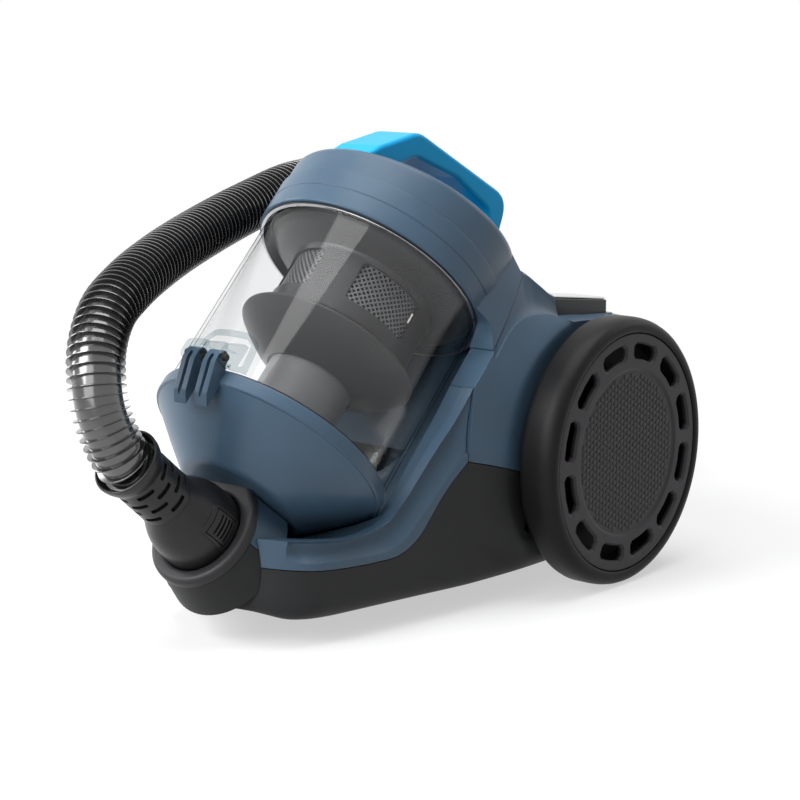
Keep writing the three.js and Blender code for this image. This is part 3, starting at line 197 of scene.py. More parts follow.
# ---- shapes
def solid(points, faces):
    """A mesh with its doubled points merged and its faces pointing out."""
    mesh = bpy.data.meshes.new("shape")
    mesh.from_pydata([tuple(p) for p in points], [], faces)
    work = bmesh.new()
    work.from_mesh(mesh)
    bmesh.ops.remove_doubles(work, verts=work.verts, dist=1e-4)
    if work.calc_volume(signed=True) < 0:
        bmesh.ops.reverse_faces(work, faces=work.faces)
    work.to_mesh(mesh)
    work.free()
    return mesh


def moved(mesh, matrix):
    """A copy of the mesh, moved, with its faces still pointing out."""
    copy = mesh.copy()
    copy.transform(matrix)
    if matrix.determinant() < 0:
        copy.flip_normals()
    return copy


def mirrored(mesh):
    return moved(mesh, Matrix.Scale(-1, 4, (1, 0, 0)))


def handed(mesh, flip):
    return mirrored(mesh) if flip else mesh.copy()


def both(mesh):
    return [mesh, mirrored(mesh)]


def shifted(mesh, x=0, y=0, z=0):
    return moved(mesh, Matrix.Translation((x, y, z)))


def along_x(mesh, y, z):
    """Lies a shape that was made round Z along X instead."""
    return moved(mesh, Matrix.Translation((0, y, z)) @ Matrix.Rotation(pi / 2, 4, "Y"))


def spun(mesh, angle):
    return moved(mesh, Matrix.Rotation(angle, 4, "Z"))


def skin_faces(first, count, levels, closed_ring=False):
    """The faces of a skin through loops of points, with ends unless the last loop meets the first."""
    faces = []
    for k in range(levels if closed_ring else levels - 1):
        here, there = first + k * count, first + ((k + 1) % levels) * count
        for i in range(count):
            j = (i + 1) % count
            faces.append((here + i, here + j, there + j, there + i))
    if not closed_ring:
        last = first + (levels - 1) * count
        faces += [tuple(range(first, first + count))[::-1], tuple(range(last, last + count))]
    return faces


def loft(loops, closed_ring=False):
    """A closed shape through loops of points."""
    points = [p for loop in loops for p in loop]
    return solid(points, skin_faces(0, len(loops[0]), len(loops), closed_ring))


def turned(profile, segments=96):
    """A closed profile of (radius, height) turned about Z."""
    turns = [2 * pi * k / segments for k in range(segments)]
    return loft([[(r * cos(a), r * sin(a), z) for r, z in profile] for a in turns], closed_ring=True)


def ring(inner, outer, low, high, segments=96):
    return turned([(inner, low), (outer, low), (outer, high), (inner, high)], segments)


def disc(radius, low, high, segments=96):
    return turned([(0, low), (radius, low), (radius, high), (0, high)], segments)


def rounded(corners, steps=6):
    """A corner list with round corners: each point is (a, b) or (a, b, radius)."""
    outline = []
    for i, corner in enumerate(corners):
        here = Vector(corner[:2])
        if len(corner) < 3:
            outline.append(here)
            continue
        back = (Vector(corners[i - 1][:2]) - here).normalized()
        on = (Vector(corners[(i + 1) % len(corners)][:2]) - here).normalized()
        half = acos(max(-1, min(1, back.dot(on)))) / 2
        reach = corner[2] / tan(half)
        start, end = here + back * reach, here + on * reach
        for k in range(steps + 1):
            t = k / steps
            outline.append(start * (1 - t) ** 2 + here * 2 * t * (1 - t) + end * t * t)
    return outline


def rounded_box(a0, a1, b0, b1, corner, steps=6, upper=None):
    upper = upper or corner
    return rounded([(a0, b0, corner), (a1, b0, corner), (a1, b1, upper), (a0, b1, upper)], steps)


def prism(plane, outline, low, high):
    """An outline pushed straight through. The outline lies in the named plane."""
    place = {"yz": lambda a, b, d: (d, a, b), "xy": lambda a, b, d: (a, b, d),
             "xz": lambda a, b, d: (a, d, b)}[plane]
    return loft([[place(p[0], p[1], depth) for p in outline] for depth in (low, high)])


def block(x0, x1, y0, y1, z0, z1):
    return prism("xy", [(x0, y0), (x1, y0), (x1, y1), (x0, y1)], z0, z1)


def combine(kind, body, *tools):
    """A boolean of a body with tools, made on scratch objects that are removed again."""
    host = bpy.data.objects.new("work", body)
    scene.collection.objects.link(host)
    used = [host]
    for tool in tools:
        helper = bpy.data.objects.new("tool", tool)
        scene.collection.objects.link(helper)
        used.append(helper)
        step = host.modifiers.new("step", "BOOLEAN")
        step.operation = kind
        step.object = helper
        step.solver = "MANIFOLD"
    graph = bpy.context.evaluated_depsgraph_get()
    result = bpy.data.meshes.new_from_object(host.evaluated_get(graph))
    for helper in used:
        bpy.data.objects.remove(helper)
    if not result.polygons:
        raise ValueError("a combined shape came out empty")
    return result


def cut(body, *tools):
    return combine("DIFFERENCE", body, *tools)


def join(body, *tools):
    return combine("UNION", body, *tools)


def meet(body, *tools):
    return combine("INTERSECT", body, *tools)


def smooth(table, at):
    """A smooth value between listed ones, without overshoot."""
    if at <= table[0][0]:
        return table[0][1]
    if at >= table[-1][0]:
        return table[-1][1]
    k = next(i for i in range(len(table) - 1) if at <= table[i + 1][0])

    def slope(i):
        if i <= 0 or i >= len(table) - 1:
            return 0.0
        left = (table[i][1] - table[i - 1][1]) / (table[i][0] - table[i - 1][0])
        right = (table[i + 1][1] - table[i][1]) / (table[i + 1][0] - table[i][0])
        return 0.0 if left * right <= 0 else 2 * left * right / (left + right)
    (x0, y0), (x1, y1) = table[k], table[k + 1]
    span = x1 - x0
    t = (at - x0) / span
    return ((2 * t ** 3 - 3 * t ** 2 + 1) * y0 + (t ** 3 - 2 * t ** 2 + t) * span * slope(k)
            + (3 * t ** 2 - 2 * t ** 3) * y1 + (t ** 3 - t ** 2) * span * slope(k + 1))


def curve(points, steps):
    """A smooth line through the points (centripetal Catmull-Rom), with steps pieces between each two."""
    points = [Vector(p) for p in points]
    line = []
    for i in range(len(points) - 1):
        p1, p2 = points[i], points[i + 1]
        p0 = points[i - 1] if i else p1 + (p1 - p2)
        p3 = points[i + 2] if i + 2 < len(points) else p2 + (p2 - p1)
        d0, d1, d2 = (max(1e-4, (b - a).length ** 0.5) for a, b in ((p0, p1), (p1, p2), (p2, p3)))
        m1 = ((p1 - p0) / d0 - (p2 - p0) / (d0 + d1) + (p2 - p1) / d1) * d1
        m2 = ((p2 - p1) / d1 - (p3 - p1) / (d1 + d2) + (p3 - p2) / d2) * d1
        for k in range(steps):
            t = k / steps
            line.append(p1 * (2 * t ** 3 - 3 * t ** 2 + 1) + m1 * (t ** 3 - 2 * t ** 2 + t)
                        + p2 * (3 * t ** 2 - 2 * t ** 3) + m2 * (t ** 3 - t ** 2))
    line.append(points[-1])
    return line


BEVEL_ANGLE = 38


def piece(name, mesh, finish, body, replaces=(), sharp=32.0, bevel=0.0, bevel_steps=3):
    """Puts a finished shape into the scene, on its body."""
    mesh.transform(TO_ROW)
    mesh.name = name
    mesh.materials.clear()
    mesh.materials.append(finish)
    made = bpy.data.objects.new(name, mesh)
    scene.collection.objects.link(made)
    mesh.polygons.foreach_set("use_smooth", [True] * len(mesh.polygons))
    mesh.set_sharp_from_angle(angle=radians(sharp))
    if bevel:
        edge = made.modifiers.new("edge", "BEVEL")
        edge.width = bevel * MM
        edge.segments = bevel_steps
        edge.limit_method = "ANGLE"
        edge.angle_limit = radians(BEVEL_ANGLE)
        edge.harden_normals = False
    shading = made.modifiers.new("shading", "WEIGHTED_NORMAL")
    shading.keep_sharp = True
    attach(made, body)
    if replaces:
        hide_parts(*replaces)
    return made


# ---- hose and what it carries
def hose_point(height):
    return SWIVEL @ Vector((0, 0, height))


# The line runs from the cuff past the bin's side, and then lies in a loop on the floor behind the machine.
HOSE_OUT, HOSE_ROOT, HOSE_SIDES, FIN_PITCH = 18.3, 15.1, 40, 5.4
hose_route = [
    hose_point(76.3), hose_point(88), (-2, -364, 146), (-6, -368, 163), (-10, -367, 179), (-18, -359, 198),
    (-29, -340, 217), (-44, -308, 229), (-66, -258, 240), (-88, -200, 250), (-109, -128, 262),
    (-124, -59, 272), (-143, 18, 268), (-162, 78, 232), (-190, 122, 172), (-217, 154, 106), (-238, 186, 53),
    (-250, 226, 22), (-252, 266, 19), (-236, 314, 19), (-198, 347, 19), (-150, 356, 19), (-104, 344, 19),
    (-70, 312, 19), (-54, 268, 19), (-60, 222, 19), (-86, 184, 19), (-124, 164, 19), (-158, 162, 19)]
hose_line = curve(hose_route, 40)


def along(line):
    """Running length at each point of a line."""
    lengths = [0.0]
    for a, b in zip(line, line[1:]):
        lengths.append(lengths[-1] + (b - a).length)
    return lengths


def circle_round(here, side, up, radius, sides):
    return [here + (side * cos(a) + up * sin(a)) * radius
            for a in (2 * pi * i / sides for i in range(sides))]


def finned_hose(line, sides):
    """A skin along the line, with a thin upright fin at each pitch."""
    lengths = along(line)
    total = lengths[-1]
    fin = [
        (0.0, HOSE_ROOT), (1.7, HOSE_ROOT), (1.95, HOSE_OUT - 0.4), (2.1, HOSE_OUT), (2.5, HOSE_OUT),
        (2.65, HOSE_OUT - 0.4), (2.9, HOSE_ROOT)]
    stops = []
    fins = int((total - 2) / FIN_PITCH)
    start = (total - fins * FIN_PITCH) / 2
    for n in range(fins):
        stops += [(start + n * FIN_PITCH + at, radius) for at, radius in fin]
    stops = [(0.0, HOSE_ROOT)] + stops + [(total, HOSE_ROOT)]
    loops, side, k = [], Vector((1, 0, 0)), 0
    for at, radius in stops:
        while k < len(lengths) - 2 and lengths[k + 1] < at:
            k += 1
        share = (at - lengths[k]) / max(1e-6, lengths[k + 1] - lengths[k])
        here = line[k].lerp(line[k + 1], share)
        way_a = (line[min(k + 1, len(line) - 1)] - line[max(k - 1, 0)]).normalized()
        way_b = (line[min(k + 2, len(line) - 1)] - line[k]).normalized()
        way = way_a.lerp(way_b, share).normalized()
        side = (side - way * side.dot(way)).normalized()
        loops.append(circle_round(here, side, way.cross(side), radius, sides))
    return loft(loops)


hose = piece("hose_skin", finned_hose(hose_line, HOSE_SIDES), HOSE, "root", ["hose"], sharp=60)

# ---- body envelope
# Each table gives a size of the cross-section at places along the body, from its front to its rear.
FRONT_Y, REAR_Y = -281, 92
HALF = [
    (-281, 62), (-262, 66), (-228, 73), (-164, 84), (-108, 93), (-56, 96), (48, 96), (68, 94), (82, 90),
    (92, 84)]
BOTTOM = [(-281, 24), (-262, 18), (-228, 16), (20, 16), (48, 20), (68, 34), (82, 54), (92, 76)]
BOTTOM_CORNER = [(-281, 12), (-228, 14), (-108, 12), (-8, 12), (48, 18), (82, 20), (92, 16)]
TOP = [
    (-281, 232), (-108, 232), (-56, 225), (-40, 215), (-26, 206), (-8, 202), (20, 198), (48, 189), (68, 176),
    (82, 157), (92, 132)]
TOP_CORNER = [
    (-281, 8), (-56, 8), (-40, 9), (-26, 12), (-8, 20), (20, 26), (48, 30), (68, 32), (82, 30), (92, 22)]
# The shoulder under each pedal: place, height of the crease along the side, and the top of the hollow face
# behind it, as distance in from the side and height.
SHOULDER = [[
    (-102, 171, 5, 174.5), (-97.7, 174, 6.1, 179.5), (-91.3, 179.9, 7, 186), (-82.4, 186.9, 8.6, 195),
    (-72.8, 191.8, 10.6, 204.6), (-62.4, 194, 13.3, 215), (-55.5, 194.6, 15.3, 221.5),
    (-48, 194.4, 14.5, 216.5), (-42, 193.8, 13, 211.5), (-36, 192, 11.7, 206.8), (-30, 189.5, 10.7, 202),
    (-25.3, 187.8, 10, 198.5)
], [
    (-24.6, 187.6, 50, 206), (20, 184.2, 50, 200), (48, 182.2, 50, 192), (62, 180, 46, 185),
    (78, 176, 36, 178), (98, 170, 26, 172)]]
FLANGE_R, FLANGE_X = 99, 102
ARCH_START = -62
ARCH = [
    (ARCH_START, 3), (-54, 5), (-32, 14), (-16, 34), (-5, 44), (5, 48), (25, 44), (50, 30), (80, 16),
    (120, 9), (180, 7)]
FRONT_ROUND, REAR_ROUND = 34, 7
BODY_STEP = 3
CORNER_STEPS, SIDE_STEPS, TOP_STEPS = 6, 60, 8
LEAN_START, LEAN_RATE = 140, 0.0023


def lean(z):
    """How far the side has drawn in at a height."""
    return LEAN_RATE * max(0, z - LEAN_START) ** 2


def flare(x, y, z):
    """How the side swells out to the rim of the wheel arch."""
    radius = hypot(y, z - WHEEL_R)
    angle = degrees(atan2(z - WHEEL_R, -y))
    width = smooth(ARCH, angle)
    if radius > FLANGE_R + width or angle < ARCH_START:
        return x
    share = 1 - max(0, radius - FLANGE_R) / width
    sharpness = 1.15 + 0.85 * min(1, max(0, (angle + 8) / 20))
    fade = min(1, max(0, (z - 20) / 22)) * min(1, max(0, (84 - y) / 24))
    return x + (FLANGE_X - x) * share ** sharpness * fade


def end_round(y, inset):
    """How much the form draws in at its front edge, and at its rear edge."""
    ahead = max(0, FRONT_Y + inset + FRONT_ROUND - y)
    behind = max(0, y - (REAR_Y - inset - REAR_ROUND))
    return [r - sqrt(max(0, r ** 2 - d ** 2)) for r, d in ((FRONT_ROUND, ahead), (REAR_ROUND, behind))]


def half_width(y):
    return smooth(HALF, y)


def body_loop(y, inset, flared):
    """The envelope's cross-section at a place, from the bottom up one side and down the other."""
    front, rear = end_round(y, inset)
    w = half_width(y) - inset - front - rear
    low = smooth(BOTTOM, y) + inset + rear
    high = smooth(TOP, y) - inset - rear
    bottom_corner, top_corner = smooth(BOTTOM_CORNER, y), smooth(TOP_CORNER, y)
    side = [(0, low)]
    for i in range(CORNER_STEPS + 1):
        turn = i / CORNER_STEPS * pi / 2
        side.append((w - bottom_corner + bottom_corner * sin(turn),
                     low + bottom_corner - bottom_corner * cos(turn)))
    shoulder = high - top_corner
    foot = low + bottom_corner
    for i in range(1, SIDE_STEPS + 1):
        z = foot + (shoulder - foot) * i / SIDE_STEPS
        side.append((w - lean(z), z))
    edge = w - lean(shoulder) - top_corner
    for i in range(1, TOP_STEPS + 1):
        turn = i / TOP_STEPS * pi / 2
        side.append((edge + top_corner * cos(turn), shoulder + top_corner * sin(turn)))
    if flared:
        side = [(flare(x, y, z), z) if x > 40 else (x, z) for x, z in side]
    side.append((0, high))
    far_side = [(-x, z) for x, z in side[1:-1]][::-1]
    return [Vector((x, y, z)) for x, z in side + far_side]


def body_form(inset, flared=False):
    """The body's envelope, drawn in all round by the inset."""
    start, end = FRONT_Y + inset, REAR_Y - inset
    ys = [start, start + 0.4, start + 1.2, start + 2.4, start + 4]
    ys += [start + 6 + i * BODY_STEP for i in range(int((end - start - 12) / BODY_STEP))]
    ys += [end - 5, end - 3, end - 1.6, end - 0.7, end]
    return loft([body_loop(y, inset, flared) for y in ys])


def bin_point(behind, height):
    point = BIN @ Vector((0, behind, height))
    return (point.y, point.z)


HOUSING_FACE = 46
SPLIT_FOOT = (-130.3, 104.3)
SPLIT_TOP = bin_point(HOUSING_FACE, 118.5)
FAR, AHEAD, HIGH, LOW = 130, -400, 300, -20
WIDE = (-FAR, FAR)


def shoulder_space(extra):
    """What is taken off above a pedal's shoulder."""
    loops = []
    for rows, step in zip(SHOULDER, (1.5, 4)):
        start, end = rows[0][0], rows[-1][0]
        count = round((end - start) / step)
        for i in range(count + 1):
            y = start + (end - start) * i / count
            crease, taper, top = (smooth([(row[0], row[k]) for row in rows], y) for k in (1, 2, 3))
            foot = Vector((half_width(min(y, REAR_Y)) - lean(crease) - extra, crease - extra))
            head = Vector((half_width(0) - taper - extra, top - extra))
            bend = Vector((head.x + (foot.x - head.x) * 0.3, foot.y + (head.y - foot.y) * 0.2))
            face = [foot * (1 - t) ** 2 + bend * 2 * t * (1 - t) + head * t * t
                    for t in (k / 10 for k in range(11))]
            face += [(head.x, HIGH), (FAR, HIGH), (FAR, foot.y)]
            loops.append([Vector((p[0], y - extra, p[1])) for p in face])
    return loft(loops)


# Lines along the side, as (y, z).
deck_seam = curve([
    (FRONT_Y, 54), (-250, 50.3), (-226, 48.8), (-206, 48.6), (-188, 49.8), (-172, 58.2), (-152, 81.5),
    (-140, 94.5), SPLIT_FOOT], 8)
housing_seam = curve([SPLIT_FOOT, (-108, 98.3), (-84, 91), (-55, 85), (-30, 80), (REAR_Y, 80)], 6)
lip_line = curve([
    (FRONT_Y, 73), (-246, 69.3), (-226, 67.6), (-209, 69.7), (-195, 74), (-187, 81), (-180, 87.4),
    (-166.6, 102.6), (-152.7, 118.1), (-138.7, 133.1), SPLIT_TOP], 6)
ramp_line = curve([
    (FRONT_Y, 59), (-250, 55.3), (-226, 54), (-207, 53.8), (-192, 55), (-179.6, 62.2), (-170, 71.6),
    (-157.2, 83.9), (-144, 97.6), (-136, 106), (-131, 110.4)], 6)
LIP_WIDTH, LIP_DEPTH, LIP_FADE = 9.5, 5.5, 26
RAMP_DEPTH, RAMP_START = 6.5, 2


def raised(line, by=2 * SEAT):
    return [(p[0], p[1] + by) for p in line]


def bin_space(extra):
    """The room the bin takes up in the body, with its running clearance and an extra all round."""
    slack = RUNNING + extra
    return moved(turned([
        (0, -21 - slack), (44 + slack * 0.7, -21 - slack), (83 + slack, 17 - slack * 0.6), (83 + slack, 155),
        (85 + slack, 159), (85 + slack, 320), (0, 320)], 120), BIN)


def ramp_point(top, foot, share, inset):
    """A point on the moulding, between the lip and the moulding's foot. The inset fades at both ends."""
    y, z = (a + (b - a) * share for a, b in zip(top, foot))
    fade = min(1, 0.1 + (SPLIT_TOP[0] - y) / 16, 0.15 + (y - lip_line[RAMP_START][0]) / 6)
    if inset > 0:
        inset *= fade
    return Vector((half_width(y) - end_round(y, 0)[0] - lean(z) - inset, y, z))


def lip_ramp():
    """What the hollow moulding along the outside of the deck's lip takes away."""
    section = [
        (-0.02, 1.0), (0.0, 1.2), (0.02, 1.8), (0.05, 3.4), (0.08, 5.6), (0.12, 6.7), (0.18, 7.2), (0.3, 7.1),
        (0.45, 6.4), (0.6, 5.2), (0.72, 3.9), (0.84, 2.2), (0.93, 0.8), (0.97, 0.1), (1.0, 0.0), (1.0, -10),
        (-0.4, -10), (-0.4, 1.0)]
    loops = [[ramp_point(top, foot, share, inset) for share, inset in section]
             for top, foot in list(zip(lip_line, ramp_line))[RAMP_START:]]
    return loft(loops + [[p + Vector((0, 10, 0)) for p in loops[-1]]])


outer = body_form(0, flared=True)
inner = body_form(WALL)
HOUSING_FOOT = housing_seam[-1].y
low_outline = deck_seam + housing_seam[1:] + [(FAR, HOUSING_FOOT), (FAR, LOW), (AHEAD, LOW), (AHEAD, 54)]
low_part = prism("yz", low_outline, *WIDE)

# The nose and the duct behind it, which the base and the deck are cut round.
NOSE_RING_R, NOSE_END, NOSE_CHIN, NOSE_SIDES = 37, -34, 6, 72
NOSE_FLIP = SWIVEL @ Matrix.Rotation(pi, 4, "Z")


def nose_circle(radius, depth, chin=0):
    """A loop round the swivel's axis, that hangs lower by the chin."""
    turns = [2 * pi * i / NOSE_SIDES for i in range(NOSE_SIDES)]
    return [NOSE_FLIP @ Vector((radius * cos(turn), radius * sin(turn)
                                - chin * max(0, -sin(turn)) ** 2, depth)) for turn in turns]


def nose_loop(depth, grow, inset):
    return nose_circle(NOSE_RING_R + grow - inset, depth, NOSE_CHIN)


def nose_form(inset, longer=0):
    grown = [(0, 0), (-4, 0.7), (-8, 1.3), (-12, 1.9), (-18, 3.2), (-24, 4.7), (-30, 6.1), (NOSE_END, 7)]
    return loft([nose_loop(d + (longer if d == 0 else 0) + (inset if d == NOSE_END else 0), g, inset)
                 for d, g in grown])


nose_space = nose_form(-SEAT, 30)
DUCT_ROUTE = [
    (0, -262, 50), (14, -251, 42), (42, -232, 36), (55, -200, 34), (56, -150, 34), (50, -104, 40),
    (36, -82, 62), (24, -84, 92), (22, -94, 112)]


def round_tube(points, radius, sides, steps):
    """A solid round bar along a smooth line."""
    line = curve(points, steps)
    loops, side = [], Vector((1, 0, 0))
    for i, here in enumerate(line):
        way = (line[min(i + 1, len(line) - 1)] - line[max(i - 1, 0)]).normalized()
        side = side - way * side.dot(way)
        side = side.normalized() if side.length > 1e-3 else way.orthogonal().normalized()
        loops.append(circle_round(here, side, way.cross(side), radius, sides))
    return loft(loops)


duct_space = round_tube(DUCT_ROUTE, 13.9, 24, 6)

# ---- base pan
CASTER_Y, WELL_R, WELL_TOP = -190, 27, 46
STEM_R, SCREW_R = 4.3, 3.3
CORD_HOLE_R, CORD_X, CORD_Z = 8.3, 40, 66
caster_well = shifted(disc(WELL_R, 12, WELL_TOP), 0, CASTER_Y)
well_shell = meet(shifted(disc(WELL_R + WALL, 12, WELL_TOP + WALL), 0, CASTER_Y), outer, low_part)
hollowed = cut(meet(outer, low_part), inner)
side_recess = along_x(moved(disc(5, 94, FAR, 40), Matrix.Scale(1.55, 4, (0, 1, 0))), -73, 52)
screw_places = [(48, -232), (-48, -232), (70, 30), (-70, 30)]
cord_hole = moved(disc(CORD_HOLE_R, 70, FAR, 40), Matrix.Rotation(-pi / 2, 4, "X"))
cord_hole = shifted(cord_hole, CORD_X, 0, CORD_Z)
base = cut(join(hollowed, well_shell), caster_well, shifted(disc(STEM_R, 0, 60, 40), 0, CASTER_Y), nose_space,
           *both(side_recess), *[shifted(disc(SCREW_R, 0, 24, 32), x, y) for x, y in screw_places], cord_hole)
piece("base_shell", base, BLACK, "root", ["base_pan"])

# ---- front deck
lip_end = Vector(SPLIT_TOP)
floor_line = [(p[0], p[1] - LIP_DEPTH * min(1, (p - lip_end).length / LIP_FADE)) for p in lip_line]
region = raised(deck_seam[:-1]) + [(SPLIT_FOOT[0] - SEAT, SPLIT_FOOT[1] + 2 * SEAT),
                                   (SPLIT_TOP[0] - SEAT, SPLIT_TOP[1])] + lip_line[-2::-1]
above_floor = floor_line + [(-60, HIGH), (AHEAD, HIGH), (AHEAD, floor_line[0][1])]
below_floor = raised(floor_line, -WALL) + [(-60, 120), (-60, LOW), (AHEAD, LOW),
                                           (AHEAD, floor_line[0][1] - WALL)]
below_ramp = raised(ramp_line, -1) + [(-60, 110), (-60, LOW), (AHEAD, LOW), (AHEAD, ramp_line[0][1] - 1)]
skin = cut(meet(outer, prism("yz", region, *WIDE)),
           meet(body_form(LIP_WIDTH), prism("yz", above_floor, *WIDE)))
under = cut(join(meet(body_form(RAMP_DEPTH + WALL), prism("yz", below_floor, *WIDE)),
                 meet(inner, prism("yz", below_ramp, *WIDE))), bin_space(WALL))
trough_side = [
    (AHEAD, 30), (SPLIT_FOOT[0] - 30, 30), (SPLIT_FOOT[0] - SEAT, SPLIT_FOOT[1]),
    (SPLIT_TOP[0] - SEAT, SPLIT_TOP[1])] + floor_line[-2::-1] + [(AHEAD, floor_line[0][1])]
trough = meet(cut(bin_space(WALL), bin_space(0)), body_form(WALL + SEAT), prism("yz", trough_side, *WIDE))
deck = cut(join(cut(skin, under), trough), bin_space(0), *both(lip_ramp()), nose_space, duct_space)
piece("deck_shell", deck, BLUE, "root", ["front_deck"])

# ---- rear housing
PEDAL_X, PEDAL_HALF, PEDAL_FRONT, PEDAL_BACK = 65, 15, -24, 48
PEDAL_TOP, PEDAL_FALL = 202, 9
PEDAL_SLACK, CURB = 0.6, 4
AXLE_HOLE_R = 6.3


def pedal_line(y):
    return PEDAL_TOP - PEDAL_FALL * (y - PEDAL_FRONT) / (PEDAL_BACK - PEDAL_FRONT)


def pedal_outline(grow, corner):
    return rounded_box(PEDAL_X - PEDAL_HALF - grow, PEDAL_X + PEDAL_HALF + grow, PEDAL_FRONT - grow,
                       PEDAL_BACK + grow, corner)


face_top = bin_point(HOUSING_FACE, 260)
region = [(SPLIT_FOOT[0] + SEAT, SPLIT_FOOT[1] + 2 * SEAT)] + raised(housing_seam[1:]) + [
    (FAR, HOUSING_FOOT + 2 * SEAT), (FAR, HIGH), face_top, (SPLIT_TOP[0] + SEAT, SPLIT_TOP[1])]
side_region = prism("yz", region, *WIDE)
face_low, face_high = bin_point(HOUSING_FACE + WALL, 20), bin_point(HOUSING_FACE + WALL, 300)
inside_face = prism("yz", [face_low, face_high, (FAR, 300), (FAR, LOW), (-190, LOW)], *WIDE)
foot_y, top_y = SPLIT_FOOT[0] + WALL, SPLIT_TOP[0] + WALL
end_outline = [
    (foot_y, LOW), (foot_y, SPLIT_FOOT[1]), (top_y, SPLIT_TOP[1]), (top_y, HIGH), (FAR, HIGH), (FAR, LOW)]
inside_end = prism("yz", end_outline, *WIDE)
hollow = cut(meet(inner, inside_face, inside_end), bin_space(WALL), *both(shoulder_space(WALL)))
pedal_well = prism("xy", pedal_outline(PEDAL_SLACK, 3), 166, 260)
curb_front, curb_back = PEDAL_FRONT - CURB, PEDAL_BACK + CURB
curb_side = [
    (curb_front, pedal_line(curb_front) - 24), (curb_front, pedal_line(curb_front) - 14),
    (curb_back, pedal_line(curb_back) - 9), (curb_back, pedal_line(curb_back) - 24)]
curb = meet(prism("xy", pedal_outline(CURB, 6), 150, 240), prism("yz", curb_side, 0, FAR))
duct_port = block(-22, 22, 60, 112, 184, 202)
GRILLE_HALF, GRILLE_LOW, GRILLE_HIGH = 52, 84, 124
grille_hole = block(-GRILLE_HALF - SEAT, GRILLE_HALF + SEAT, REAR_Y - 14, FAR,
                    GRILLE_LOW - SEAT, GRILLE_HIGH + SEAT)
axle_hole = along_x(disc(AXLE_HOLE_R, 80, FAR, 40), 0, WHEEL_R)
shaped = cut(cut(meet(outer, side_region), hollow), *both(shoulder_space(0)))
housing = cut(join(shaped, *both(curb)), bin_space(0), *both(pedal_well),
              *both(axle_hole), moved(duct_port, BIN), grille_hole, duct_space)
piece("housing_shell", housing, BLUE, "root", ["rear_housing"])

# ---- nose
MOUTH_R = 28.8
nose_shell = cut(nose_form(0), meet(nose_form(WALL), moved(disc(80, -60, -5.6), SWIVEL)))
nose_shell = cut(nose_shell, moved(disc(MOUTH_R, -8.2, 20), SWIVEL), moved(disc(13.3, -80, 0), SWIVEL),
                 bin_space(0), duct_space, moved(block(-60, 60, -60, 60, -7.5, 20), SWIVEL))
upper_half = moved(block(-80, 80, 1.0, 80, -60, 20), SWIVEL)
lower_half = moved(block(-80, 80, -80, 0.6, -60, 20), SWIVEL)
piece("nose_body", meet(nose_shell, lower_half), BLACK, "root", ["nose_housing"])
piece("nose_hood", meet(nose_shell, upper_half), BLUE, "root")

ring_outside = [(-7.2, 1.0), (-6.9, 1.6), (-3.4, 1.5), (-1.8, 1.1), (-0.8, 0.3), (-0.2, -0.8), (0, -2.2)]
ring_inside = [(31.6, -0.4), (30.4, -0.8), (29.4, -1.6), (MOUTH_R, -2.8), (MOUTH_R, -7.2)]
nose_ring = loft([nose_loop(d, g, 0) for d, g in ring_outside] + [nose_circle(r, d) for r, d in ring_inside],
                 closed_ring=True)
piece("nose_ring", nose_ring, GREY, "root", sharp=50)

# ---- hose cuff
bulb = [
    (15, -20), (22.5, -20), (22.5, -4), (27.9, -3.2), (28.5, -2.4), (28.5, 4), (28.4, 9), (28.0, 14),
    (27.1, 19), (25.6, 23.5), (23.8, 27.5), (22.0, 31), (20.6, 34), (19.5, 37), (18.9, 39), (15, 39)]
BUTTON_HALF, BUTTON_LOW, BUTTON_HIGH, BUTTON_SLACK = 8.7, 2.3, 19.7, 0.6
pocket = block(22, FAR, -BUTTON_HALF - BUTTON_SLACK, BUTTON_HALF + BUTTON_SLACK, BUTTON_LOW - BUTTON_SLACK,
               BUTTON_HIGH + BUTTON_SLACK)
frame_edge = rounded([(-12, -0.6, 3), (12, -0.6, 3), (10.5, 23.4, 4), (-10.5, 23.4, 4)])
frame_outside = [(0, -3), (29.5, -3), (29.5, 14), (28.2, 19), (26.6, 23.5), (24.8, 27), (0, 27)]
button_frame = meet(prism("yz", frame_edge, 14, 40), turned(frame_outside))
bulb_mesh = cut(join(turned(bulb), *both(button_frame)), *both(pocket))
piece("cuff_bulb", moved(bulb_mesh, SWIVEL), SATIN, "cuff", ["cuff_body"], sharp=40)


def cuff_button():
    body = meet(block(22, FAR, -BUTTON_HALF, BUTTON_HALF, BUTTON_LOW, BUTTON_HIGH),
                turned([(0, 0), (29.6, 0), (29.6, 10), (29.0, 15), (27.8, 20), (0, 20)], 96))
    grooves = [block(27.4, FAR, -7, 7, z - 0.8, z + 0.8) for z in (5.5, 8.7, 11.9, 15.1)]
    return cut(body, *grooves)


for side, flip in (("right", False), ("left", True)):
    piece(f"button_{side}", moved(handed(cuff_button(), flip), SWIVEL), SATIN, f"cuff_latch_{side}",
          [f"cuff_button_{side}"])

